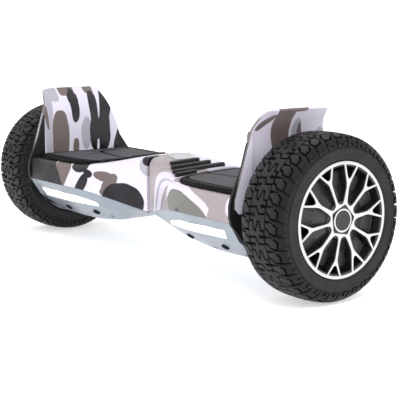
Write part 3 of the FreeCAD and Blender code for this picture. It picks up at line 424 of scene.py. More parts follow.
# ---- finishes -----------------------------------------------------------------------
@dataclass(frozen=True)
class Finish:
    """A moulded, cast, painted or machined surface."""

    name: str
    colour: Colour
    roughness: float = 0.5
    metallic: float = 0.0
    grain: float = 1500.0
    relief: float = 0.05
    tone_shift: float = 0.12
    edge_mm: float = 0.6
    wear: float = 0.3
    wear_colour: Colour = (0.30, 0.30, 0.31)
    dust: float = 0.12
    dust_colour: Colour = (0.42, 0.40, 0.38)
    scratches: float = 0.15
    coat: float = 0.0
    coat_roughness: float = 0.08
    specular: float = 0.5

    def base(self, sheet: Sheet, drift: Socket) -> Socket:
        """Colour before wear and dust.

        Args:
            sheet: the material's sheet.
            drift: slow tone drift, 0 to 1.

        Returns:
            The colour's socket.
        """
        dark = tuple(c * (1.0 - self.tone_shift) for c in self.colour)
        light = tuple(min(c * (1.0 + self.tone_shift), 1.0) for c in self.colour)
        return sheet.mix(drift, dark, light)

    def material(self) -> bpy.types.Material:
        """Builds the node material, once for each name.

        Returns:
            The material.
        """
        made = bpy.data.materials.get(self.name)
        if made:
            return made
        material = bpy.data.materials.new(self.name)
        material.use_nodes = True
        sheet = Sheet(material.node_tree)
        shader = material.node_tree.nodes["Principled BSDF"]
        grain = sheet.place(FX.grain, Scale=self.grain)
        edge = sheet.place(FX.edge_wear, Radius=self.edge_mm * MM, Amount=self.wear)
        dust = sheet.place(FX.dust, Amount=self.dust)
        hair = sheet.place(FX.scratches, Amount=self.scratches)
        colour = self.base(sheet, grain.outputs["Drift"])
        worn = sheet.mix(edge.outputs["Mask"], colour, self.wear_colour)
        scratched = sheet.mix(hair.outputs["Mask"], worn, self.wear_colour)
        sheet.put(shader.inputs["Base Color"], sheet.mix(dust.outputs["Mask"], scratched, self.dust_colour))
        drift = sheet.remap(grain.outputs["Drift"], 0.0, 1.0, self.roughness - DRIFT_SHARPER,
                            self.roughness + DRIFT_DULLER)
        rubbed = sheet.maths("ADD", drift, sheet.maths("MULTIPLY", hair.outputs["Mask"], SCRATCH_DULLS))
        dulled = sheet.maths("ADD", rubbed, sheet.maths("MULTIPLY", dust.outputs["Mask"], DUST_DULLS), True)
        sheet.put(shader.inputs["Roughness"], dulled)
        shader.inputs["Metallic"].default_value = self.metallic
        shader.inputs["Specular IOR Level"].default_value = self.specular
        shader.inputs["Coat Weight"].default_value = self.coat
        shader.inputs["Coat Roughness"].default_value = self.coat_roughness
        bump = sheet.add("Bump")
        bump.inputs["Strength"].default_value = self.relief
        bump.inputs["Distance"].default_value = BUMP_DEPTH
        sheet.put(bump.inputs["Height"], grain.outputs["Height"])
        sheet.put(bump.inputs["Normal"], edge.outputs["Normal"])
        sheet.put(shader.inputs["Normal"], bump.outputs[0])
        self.finish(sheet, shader)
        return material

    def finish(self, sheet: Sheet, shader: bpy.types.Node) -> None:
        """Adds what only some finishes have, such as light of their own."""


@dataclass(frozen=True)
class GlowingLens(Finish):
    """Milky lens over a row of light chips."""

    glow: float = 2.6
    chips_per_metre: float = 100.0

    def finish(self, sheet: Sheet, shader: bpy.types.Node) -> None:
        """Makes the lens glow, a little brighter over each chip.

        Args:
            sheet: the material's sheet.
            shader: the Principled node.
        """
        parts = sheet.split(sheet.here())
        phase = sheet.maths("MULTIPLY", parts.outputs["X"], self.chips_per_metre * math.tau)
        wave = sheet.maths("SINE", phase)
        lit = sheet.mix(sheet.remap(wave, -1.0, 1.0), (0.86, 0.92, 1.0), (1.0, 1.0, 1.0))
        sheet.put(shader.inputs["Emission Color"], lit)
        shader.inputs["Emission Strength"].default_value = self.glow


@dataclass(frozen=True)
class StudioPaper(Finish):
    """Matt paper lit a little from behind, so that shadows on it stay pale."""

    glow: float = 0.5

    def finish(self, sheet: Sheet, shader: bpy.types.Node) -> None:
        """Gives the paper an even light.

        Args:
            sheet: the material's sheet; not used.
            shader: the Principled node.
        """
        shader.inputs["Emission Color"].default_value = (1.0, 1.0, 1.0, 1.0)
        shader.inputs["Emission Strength"].default_value = self.glow


@dataclass(frozen=True)
class CircuitBoard(Finish):
    """Green board with solder pads and tracks."""

    def base(self, sheet: Sheet, drift: Socket) -> Socket:
        """Green lacquer with copper tracks and tinned pads.

        Args:
            sheet: the material's sheet.
            drift: slow tone drift, 0 to 1; not used.

        Returns:
            The colour's socket.
        """
        place = sheet.here()
        tracks = sheet.pattern("TexBrick", place, 260.0)
        sheet.put(tracks.inputs["Color1"], paint(self.colour))
        sheet.put(tracks.inputs["Color2"], paint(tuple(c * 0.7 for c in self.colour)))
        sheet.put(tracks.inputs["Mortar"], (0.05, 0.20, 0.08, 1.0))
        pads = sheet.pattern("TexVoronoi", place, 320.0)
        tinned = sheet.remap(pads.outputs["Distance"], 0.16, 0.12)
        return sheet.mix(tinned, tracks.outputs["Color"], (0.55, 0.55, 0.52))


@dataclass(frozen=True)
class WoundCopper(Finish):
    """Laminated steel with enamelled copper turns on the teeth."""

    copper: Colour = (0.50, 0.19, 0.06)

    def base(self, sheet: Sheet, drift: Socket) -> Socket:
        """Copper where the coils stand proud of the laminations at each side.

        Args:
            sheet: the material's sheet.
            drift: slow tone drift, 0 to 1.

        Returns:
            The colour's socket.
        """
        parts = sheet.split(sheet.here())
        width = sheet.maths("ABSOLUTE", parts.outputs["X"])
        turns = sheet.maths("SINE", sheet.maths("MULTIPLY", width, 5200.0))
        copper = sheet.mix(sheet.remap(turns, -1.0, 1.0), self.copper, tuple(c * 0.6 for c in self.copper))
        return sheet.mix(sheet.remap(drift, 0.35, 0.45), self.colour, copper)


@dataclass(frozen=True)
class TreadRubber(Finish):
    """Tyre rubber, with painted shade darkening it down in the grooves."""

    axle_z: float = 0.108
    crown_r: float = 0.108

    def base(self, sheet: Sheet, drift: Socket) -> Socket:
        """Rubber mottled at random, with painted shade in the grooves that lifts towards the tread's top.

        Args:
            sheet: the material's sheet.
            drift: slow tone drift, 0 to 1; not used.

        Returns:
            The colour's socket.
        """
        place = sheet.here()
        centred = sheet.vector("SUBTRACT", place, (0.0, 0.0, self.axle_z))
        radius = sheet.vector("LENGTH", sheet.vector("MULTIPLY", centred, (0.0, 1.0, 1.0)))
        # deep is 0 down in the grooves and 1 near the tread's top: the mask of the painted groove shade
        deep = sheet.remap(radius, self.crown_r - 0.0045, self.crown_r - 0.0015)
        mould = sheet.noise(place, 45.0, 5.0)
        worn = sheet.mix(sheet.remap(mould, 0.35, 0.70), self.colour, tuple(c * 1.5 for c in self.colour))
        # painted shade: the groove floors take a quarter of the rubber's colour
        groove_shade = tuple(c * 0.25 for c in self.colour)
        side = sheet.remap(radius, 0.094, 0.098)
        tread = sheet.mix(deep, groove_shade, worn)
        return sheet.mix(side, worn, tread)


class Coat(Enum):
    """Inks of the printed camouflage film."""

    WHITE = (0.72, 0.685, 0.80)
    PEARL = (0.42, 0.41, 0.47)
    ROSE = (0.36, 0.315, 0.325)
    TAUPE = (0.150, 0.118, 0.112)
    OLIVE = (0.185, 0.180, 0.165)
    NAVY = (0.075, 0.075, 0.100)
    BLACK = (0.010, 0.008, 0.011)


@dataclass(frozen=True)
class Patch:
    """One printed patch, sizes in millimetres in the frame's axes."""

    coat: Coat
    centre: tuple[float, float, float]
    radii: tuple[float, float, float]
    turn: tuple[float, float, float] = (0.0, 0.0, 0.0)
    squareness: float = 2.0


def front(coat: Coat, x: float, y: float, z: float, rx: float, rz: float,
          turn: float = 0.0, squareness: float = 2.0) -> Patch:
    """Patch seen on a front face.

    Args:
        coat: its ink.
        x: its middle along the axles.
        y: the face's own place from front to rear there.
        z: its middle's height.
        rx: half its width.
        rz: half its height.
        turn: degrees about Y.
        squareness: 2 for round, more for square, less for pointed.

    Returns:
        The patch.
    """
    return Patch(coat, (x, y, z), (rx, 55.0, rz), (0.0, turn, 0.0), squareness)


def upright(coat: Coat, y: float, z: float, ry: float, rz: float,
            turn: float = 0.0, squareness: float = 2.0) -> Patch:
    """Patch seen on a fender, through its whole width.

    Args:
        coat: its ink.
        y: its middle from front to rear.
        z: its middle's height.
        ry: half its width.
        rz: half its height.
        turn: degrees about X.
        squareness: 2 for round, more for square, less for pointed.

    Returns:
        The patch.
    """
    return Patch(coat, (0.0, y, z), (5000.0, ry, rz), (turn, 0.0, 0.0), squareness)


LEFT_FRONT = (
    front(Coat.TAUPE, -175, -90, 118, 23, 19, -13, 7.0),
    front(Coat.BLACK, -234, -97, 118, 38, 19, 0, 8.0),
    front(Coat.BLACK, -186, -95, 102, 46, 15, -36, 5.0),
    front(Coat.BLACK, -130, -84, 134, 19, 11.5, 0, 2.4),
    front(Coat.BLACK, -109, -82, 122, 9.5, 6, -12, 2.2),
    front(Coat.BLACK, -118, -90, 106, 9.5, 15, -20, 2.6),
    front(Coat.TAUPE, -79, -72, 121, 19, 7.5, -6, 2.2),
    front(Coat.TAUPE, -69, -72, 109, 10, 20, -36, 2.3),
    front(Coat.WHITE, -90, -76, 105, 8.5, 11, -20, 2.2),
    front(Coat.BLACK, -43, -60, 86, 37, 26, -10, 2.2),
    front(Coat.PEARL, -8, -46, 140, 9, 16, 24, 1.4),
    Patch(Coat.BLACK, (-4.0, -38.0, 151.0), (11.0, 16.0, 10.0)),
)
RIGHT_FRONT = (
    front(Coat.WHITE, 75, -70, 88, 48, 56, 0, 2.6),
    front(Coat.PEARL, 88, -75, 86, 51, 50, 0, 2.5),
    front(Coat.WHITE, 92, -75, 96, 42, 38, 0, 2.3),
    front(Coat.ROSE, 170, -90, 96, 98, 44, 0, 2.6),
    front(Coat.PEARL, 96, -80, 100, 9, 24, -14, 2.2),
    front(Coat.WHITE, 158, -85, 110, 66, 21, -13, 2.3),
    front(Coat.ROSE, 117, -85, 97, 22, 22, 10, 2.2),
    front(Coat.OLIVE, 160, -92, 102, 60, 18.5, -15, 2.3),
    front(Coat.ROSE, 236, -95, 104, 26, 24, 0, 2.6),
    front(Coat.NAVY, 143, -93, 96, 7, 9, 14, 1.5),
    front(Coat.WHITE, 257, -93, 120, 13, 14),
)
FENDER_INSIDE = (
    upright(Coat.PEARL, -62, 190, 7.5, 62, 0, 5.0),
    upright(Coat.PEARL, -52, 236, 15, 14, 0, 4.0),
    upright(Coat.TAUPE, -69, 205, 3.5, 30, -14),
    upright(Coat.TAUPE, -41, 162, 15, 45, 0, 2.8),
    upright(Coat.TAUPE, -19, 243, 14, 12, 0, 5.0),
    upright(Coat.BLACK, -12, 214, 8, 28, 0, 2.2),
    upright(Coat.BLACK, -12, 226, 9, 8, 0, 4.0),
    upright(Coat.TAUPE, -12, 143, 6, 17, 0, 2.6),
    upright(Coat.PEARL, 8, 168, 9.5, 27, 0),
    upright(Coat.TAUPE, 24, 243, 10, 10, 0, 4.0),
    upright(Coat.BLACK, 25, 205, 10, 32, 0, 2.6),
    upright(Coat.BLACK, 45, 204, 11, 40, 10, 2.4),
    upright(Coat.BLACK, 35, 172, 20, 38, 0, 3.0),
    upright(Coat.WHITE, 34, 222, 2.2, 30, 2),
    upright(Coat.WHITE, 30, 144, 2.3, 13),
    upright(Coat.WHITE, 60, 165, 4.0, 30, 4),
    upright(Coat.BLACK, 73, 152, 9, 34, 16, 2.0),
)
FENDER_OUTSIDE = (
    upright(Coat.TAUPE, -52, 226, 15, 5, -42, 2.2),
    upright(Coat.TAUPE, -23, 222, 15, 46, -10, 4.0),
    upright(Coat.TAUPE, -12, 248, 21, 8, 0, 6.0),
    upright(Coat.PEARL, 10, 206, 9, 26, -20),
    upright(Coat.TAUPE, 14, 210, 4, 16, -20),
    upright(Coat.PEARL, 52, 190, 10, 26, -12),
    upright(Coat.BLACK, 14, 160, 22, 24),
    upright(Coat.TAUPE, -40, 150, 20, 22),
)


@dataclass(frozen=True)
class CamoPaint(Finish):
    """Gloss film printed with a camouflage of listed patches."""

    wobble_mm: float = 7.0

    def printed(self, sheet: Sheet, ground: Feed, place: Socket, patches: tuple[Patch, ...]) -> Socket:
        """Lays patches over a ground colour, in order.

        Args:
            sheet: the material's sheet.
            ground: colour under the patches.
            place: warped place in metres.
            patches: the patches.

        Returns:
            The colour's socket.
        """
        colour = ground
        for patch in patches:
            node = sheet.place(
                FX.camo_patch, Place=place, Centre=tuple(c * MM for c in patch.centre),
                Turn=tuple(math.radians(a) for a in patch.turn), Radii=tuple(r * MM for r in patch.radii),
                Squareness=patch.squareness)
            colour = sheet.mix(node.outputs["Mask"], colour, patch.coat.value)
        return colour

    def warped(self, sheet: Sheet, place: Socket) -> Socket:
        """Place pushed about by a slow noise, so that patch edges wander."""
        push = sheet.vector("SUBTRACT", sheet.noise(place, 26.0, 1.0, True), (0.5, 0.5, 0.5))
        return sheet.vector("ADD", place, sheet.scaled(push, self.wobble_mm * MM))

    def tinted(self, sheet: Sheet, colour: Feed, drift: Socket) -> Socket:
        """Slow unevenness of the print."""
        return sheet.mix(sheet.maths("MULTIPLY", drift, 0.07), colour, (0.25, 0.24, 0.27))


@dataclass(frozen=True)
class ShellPaint(CamoPaint):
    """Camouflage of the upper shells; the rear repeats the other half's front."""

    def base(self, sheet: Sheet, drift: Socket) -> Socket:
        """Both halves' patches at the front, and the same print turned round at the rear.

        Args:
            sheet: the material's sheet.
            drift: slow tone drift, 0 to 1.

        Returns:
            The colour's socket.
        """
        straight = sheet.here()
        place = self.warped(sheet, straight)
        parts = sheet.split(straight)
        right = sheet.remap(parts.outputs["X"], -0.001, 0.001)
        rear = sheet.remap(parts.outputs["Y"], -0.001, 0.001)
        rosy = sheet.maths("ABSOLUTE", sheet.maths("SUBTRACT", right, rear))
        ground = sheet.mix(rosy, Coat.WHITE.value, Coat.ROSE.value)
        turned = sheet.vector("MULTIPLY", place, (-1.0, -1.0, 1.0))
        colour = self.printed(sheet, ground, place, LEFT_FRONT + RIGHT_FRONT)
        colour = self.printed(sheet, colour, turned, LEFT_FRONT + RIGHT_FRONT)
        return self.tinted(sheet, colour, drift)


@dataclass(frozen=True)
class FenderPaint(CamoPaint):
    """Camouflage of the fenders, with one print inside and another outside."""

    rim_colour: Colour = (0.17, 0.145, 0.145)

    def base(self, sheet: Sheet, drift: Socket) -> Socket:
        """Picks the print by the side that the surface looks to.

        Args:
            sheet: the material's sheet.
            drift: slow tone drift, 0 to 1.

        Returns:
            The colour's socket.
        """
        straight = sheet.here()
        place = self.warped(sheet, straight)
        parts = sheet.split(straight)
        faced = sheet.split(sheet.add("NewGeometry").outputs["True Normal"])
        outward = sheet.maths("MULTIPLY", parts.outputs["X"], faced.outputs["X"])
        outside = sheet.remap(outward, 0.0, 0.004)
        white = Coat.WHITE.value
        inner = self.printed(sheet, white, place, FENDER_INSIDE)
        outer = self.printed(sheet, white, place, FENDER_OUTSIDE)
        printed = sheet.mix(outside, inner, outer)
        forward = sheet.remap(faced.outputs["Y"], -0.70, -0.90)
        below = sheet.remap(parts.outputs["Z"], 0.236, 0.230)
        rim = sheet.maths("MULTIPLY", forward, below)
        return self.tinted(sheet, sheet.mix(rim, printed, self.rim_colour), drift)


SHELL_PAINT = ShellPaint("camo paint shells", (1, 1, 1), 0.26, coat=0.08, relief=0.02, grain=900.0,
                         edge_mm=0.9, wear=0.10, wear_colour=(0.75, 0.73, 0.78), dust=0.05, scratches=0.05,
                         specular=0.20)
FENDER_PAINT = FenderPaint("camo paint fenders", (1, 1, 1), 0.26, coat=0.08, relief=0.02, grain=900.0,
                           edge_mm=0.8, wear=0.10, wear_colour=(0.75, 0.73, 0.78), dust=0.05, scratches=0.05,
                           specular=0.20)
SILVER_SHELL = Finish("silver shell", (0.235, 0.270, 0.315), 0.34, 0.55, grain=2600.0, relief=0.04,
                      tone_shift=0.06, edge_mm=0.9, wear=0.15, wear_colour=(0.55, 0.57, 0.60), dust=0.05,
                      scratches=0.12, coat=0.35)
BLACK_PLASTIC = Finish("black plastic", (0.006, 0.006, 0.007), 0.50, grain=2200.0, relief=0.12,
                       wear=0.25, wear_colour=(0.04, 0.04, 0.045), dust=0.03,
                       specular=0.3)
MAT_RUBBER = Finish("grip rubber", (0.078, 0.076, 0.085), 0.66, grain=1300.0, relief=0.35, edge_mm=0.8,
                    wear=0.15, wear_colour=(0.11, 0.11, 0.12), dust=0.05, scratches=0.10,
                    specular=0.12)
# black rubber of the mat's border, the twist seal and the belly feet; in the mat's grooves it is painted
# shade
MAT_EDGE_AND_GROOVE_SHADE = Finish("grip rubber edge", (0.007, 0.007, 0.008), 0.50, grain=1300.0, relief=0.2, edge_mm=0.8,
                  wear=0.12, wear_colour=(0.04, 0.04, 0.045), dust=0.01,
                  specular=0.05)
RIB_RUBBER = Finish("rib rubber", (0.014, 0.014, 0.016), 0.42, grain=1500.0, relief=0.18, edge_mm=0.8,
                    wear=0.12, wear_colour=(0.06, 0.06, 0.065), dust=0.01,
                    specular=0.22)
LENS = GlowingLens("light lens", (0.95, 0.97, 1.0), 0.18, relief=0.01, wear=0.0, dust=0.0, scratches=0.0,
                   coat=0.5)
BOARD = CircuitBoard("circuit board", (0.02, 0.10, 0.04), 0.35, relief=0.05, coat=0.3)
CAST = Finish("cast aluminium", (0.42, 0.43, 0.44), 0.48, 0.9, grain=900.0, relief=0.3, wear=0.4,
              wear_colour=(0.75, 0.76, 0.77))
SCREW = Finish("screw steel", (0.30, 0.30, 0.31), 0.30, 1.0, grain=3000.0, relief=0.05, edge_mm=0.2,
               wear=0.5, wear_colour=(0.6, 0.6, 0.6))
AXLE = Finish("axle steel", (0.48, 0.48, 0.50), 0.22, 1.0, grain=3500.0, relief=0.03, scratches=0.4)
STATOR = WoundCopper("stator core", (0.16, 0.16, 0.17), 0.35, 0.7, relief=0.10)
CABLE = Finish("cable jacket", (0.018, 0.018, 0.020), 0.55, grain=1800.0, relief=0.15, edge_mm=0.4)
TYRE_RUBBER = TreadRubber("tyre rubber", (0.011, 0.011, 0.013), 0.52, grain=1700.0, relief=0.22, edge_mm=0.45,
                          wear=0.25, wear_colour=(0.05, 0.05, 0.055), dust=0.03, scratches=0.06,
                          specular=0.24)
MOTOR = Finish("motor aluminium", (0.33, 0.34, 0.35), 0.34, 0.95, grain=2400.0, relief=0.10, scratches=0.3)
MAGNET = Finish("magnet nickel", (0.52, 0.50, 0.46), 0.20, 1.0, grain=3000.0, relief=0.03, edge_mm=0.3)
BEARING = Finish("bearing steel", (0.60, 0.60, 0.61), 0.16, 1.0, grain=3600.0, relief=0.02, edge_mm=0.4)
HUB_BLACK = Finish("hub black", (0.006, 0.006, 0.007), 0.30, grain=2600.0, relief=0.03, wear=0.08,
                   wear_colour=(0.05, 0.05, 0.05), dust=0.02, scratches=0.04, coat=0.25)
# painted highlight: the petals are the black dish floor, made grey where it catches the light
PETAL_HIGHLIGHT_GREY = Finish("hub petal grey", (0.020, 0.020, 0.022), 0.42, grain=2600.0, relief=0.05, wear=0.10,
                    wear_colour=(0.10, 0.10, 0.10), dust=0.03, scratches=0.05)
EYE_GREY = Finish("hub eye grey", (0.022, 0.022, 0.024), 0.55, grain=1500.0, relief=0.30, wear=0.10,
                  wear_colour=(0.12, 0.12, 0.12), dust=0.04)
TRIM = Finish("trim silver", (0.62, 0.61, 0.61), 0.34, 0.85, grain=3200.0, relief=0.05, tone_shift=0.04,
              edge_mm=0.3, wear=0.2, wear_colour=(0.93, 0.93, 0.93), dust=0.02, scratches=0.10)
WRAP = Finish("battery wrap", (0.02, 0.07, 0.28), 0.30, grain=500.0, relief=0.45, coat=0.5)
BRONZE = Finish("bush bronze", (0.45, 0.25, 0.10), 0.35, 0.95, grain=2200.0, relief=0.08)
PANEL = Finish("status panel", (0.46, 0.46, 0.49), 0.30, grain=2800.0, relief=0.03, coat=0.5, wear=0.05,
               dust=0.04, scratches=0.04, tone_shift=0.05)
BUTTON = Finish("button plastic", (0.05, 0.05, 0.055), 0.30, grain=2600.0, relief=0.04, coat=0.3)
CAP = Finish("cap rubber", (0.020, 0.020, 0.022), 0.60, grain=1500.0, relief=0.22, edge_mm=0.5)

NODE_FINISH = {
    "upper_shell": SHELL_PAINT, "lower_shell": SILVER_SHELL, "fender": FENDER_PAINT,
    "wheel_liner": BLACK_PLASTIC, "foot_mat": MAT_RUBBER, "grip_ribs": RIB_RUBBER, "light_lens": LENS,
    "light_board": BOARD, "frame": CAST, "axle_clamp": CAST, "screws": SCREW, "gyro_board": BOARD,
    "axle": AXLE, "stator": STATOR, "motor_cable": CABLE, "tyre": TYRE_RUBBER, "motor_drum": MOTOR,
    "magnet_ring": MAGNET, "motor_cover": MOTOR, "cover_screws": SCREW, "wheel_bearings": BEARING,
    "hub_cap": HUB_BLACK, "hub_trim": TRIM, "centre_cap": EYE_GREY, "indicator_panel": PANEL,
    "battery_pack": WRAP, "battery_straps": SCREW, "main_board": BOARD, "pivot_shaft": AXLE,
    "pivot_bushes": BRONZE, "pivot_circlip": SCREW, "harness_cable": CABLE, "power_switch": BLACK_PLASTIC,
    "power_button": BUTTON, "charge_port": BLACK_PLASTIC, "charge_port_cap": CAP,
}


# ---- meshes ----------------------------------------------------------------------------
def offset_ring(ring: list[Vector], inward: float) -> list[Vector]:
    """Moves a flat closed outline inwards.

    Args:
        ring: points in X and Y, anticlockwise.
        inward: how far, negative for outwards.

    Returns:
        The moved points.
    """
    moved = []
    for i, point in enumerate(ring):
        before = (point - ring[i - 1]).normalized()
        after = (ring[(i + 1) % len(ring)] - point).normalized()
        normal = (Vector((-before.y, before.x)) + Vector((-after.y, after.x))).normalized()
        lean = max(normal.dot(Vector((-after.y, after.x))), LEAST_LEAN)
        moved.append(point + normal * (inward / lean))
    return moved


def circle(r: float, steps: int) -> list[Point2]:
    """Evenly spaced points round the origin."""
    angles = [math.tau * i / steps for i in range(steps)]
    return [(r * math.cos(a), r * math.sin(a)) for a in angles]


def rounded_ring(ring: list[Vector], rounds: int) -> list[Vector]:
    """Cuts an outline's corners, again and again, until it curves.

    Args:
        ring: closed outline.
        rounds: how many times the corners are cut.

    Returns:
        The rounded outline.
    """
    for _ in range(rounds):
        pairs = zip(ring, ring[1:] + ring[:1])
        ring = [p for a, b in pairs for p in (a.lerp(b, 0.25), a.lerp(b, 0.75))]
    return ring


class MeshMaker:
    """Grows one piece's mesh in the frame's axes."""

    def __init__(self, name: str) -> None:
        """Starts an empty mesh.

        Args:
            name: the piece's name.
        """
        self.name = name
        self.bm = bmesh.new()

    def skin(self, rows: list[list[Vector]], ring: bool = True, loop: bool = False, index: int = 0) -> None:
        """Skins rows of points with quads.

        Args:
            rows: rows with the same number of points.
            ring: whether each row closes on itself.
            loop: whether the last row joins the first.
            index: material index.
        """
        verts = [[self.bm.verts.new(p) for p in row] for row in rows]
        count = len(rows[0])
        for i in range(len(rows) if loop else len(rows) - 1):
            low, high = verts[i], verts[(i + 1) % len(rows)]
            for j in range(count if ring else count - 1):
                k = (j + 1) % count
                self.bm.faces.new((low[j], low[k], high[k], high[j])).material_index = index

    def lid(self, row: list[Vector], index: int = 0) -> None:
        """Closes a row of points with one face."""
        self.bm.faces.new([self.bm.verts.new(p) for p in row]).material_index = index

    def turned(self, profile: list[Point2], centre: Vector, steps: int, closed: bool, index: int = 0) -> None:
        """Turns a profile about an axis along X.

        Args:
            profile: (along the axis, radius) in metres.
            centre: the axis's place.
            steps: faces round the axis.
            closed: whether the profile closes on itself.
            index: material index.
        """
        rows = [[centre + Vector((t, a, b)) for a, b in circle(r, steps)] for t, r in profile]
        self.skin(rows, loop=closed, index=index)

    def raised(self, outline: list[Point2], gap: float, bevel: float, wall: int = 0) -> bmesh.types.BMesh:
        """Draws a block on a flat sheet: its foot, its wall and its bevelled top.

        Args:
            outline: corners on the sheet.
            gap: how far the block stays inside its outline.
            bevel: width of the bevel round its top.
            wall: material index of its wall.

        Returns:
            The block's own mesh, with heights 0 at the foot and 1 at the top in Z.
        """
        block = bmesh.new()
        face = block.faces.new([block.verts.new((a, b, 0.0)) for a, b in outline])
        if face.normal.z < 0:
            face.normal_flip()
        block.normal_update()
        for inset in (gap, bevel):
            bmesh.ops.inset_region(
                block, faces=[face], thickness=inset, use_even_offset=True, use_boundary=True)
            if inset == gap:
                rim = [f for f in block.faces if f is not face]
                bmesh.ops.delete(block, geom=rim, context="FACES")
        top = set(face.verts)
        for vert in block.verts:
            vert.co.z = 1.0 if vert in top else BEVEL_FOOT
        edges = [e for e in block.edges if e.is_boundary]
        for part in bmesh.ops.extrude_edge_only(block, edges=edges)["geom"]:
            if isinstance(part, bmesh.types.BMVert):
                part.co.z = WALL_FOOT
            elif isinstance(part, bmesh.types.BMFace):
                part.material_index = wall
        return block

    def absorb(self, other: bmesh.types.BMesh, place: Callable[[Vector], Vector]) -> None:
        """Copies another mesh in, through a change of place.

        Args:
            other: the mesh.
            place: from a point of that mesh to a point in the frame's axes.
        """
        made = {v: self.bm.verts.new(place(v.co)) for v in other.verts}
        for face in other.faces:
            self.bm.faces.new([made[v] for v in face.verts]).material_index = face.material_index

    def piece(self, finishes: list[Finish], side: Side = Side.RIGHT) -> bpy.types.Object:
        """Finishes the mesh and puts it in the scene.

        Args:
            finishes: finishes by material index.
            side: the left half mirrors what was drawn for the right.

        Returns:
            The piece.
        """
        bm = self.bm
        bmesh.ops.remove_doubles(bm, verts=bm.verts, dist=WELD)
        if side is Side.LEFT:
            bmesh.ops.scale(bm, vec=(-1.0, 1.0, 1.0), verts=bm.verts)
        bmesh.ops.recalc_face_normals(bm, faces=bm.faces)
        for face in bm.faces:
            face.smooth = True
        for edge in bm.edges:
            edge.smooth = len(edge.link_faces) == 2 and edge.calc_face_angle(math.pi) < SHARP_ANGLE
        mesh = bpy.data.meshes.new(self.name)
        bm.to_mesh(mesh)
        bm.free()
        for finish in finishes:
            mesh.materials.append(finish.material())
        made = bpy.data.objects.new(self.name, mesh)
        bpy.context.scene.collection.objects.link(made)
        return made


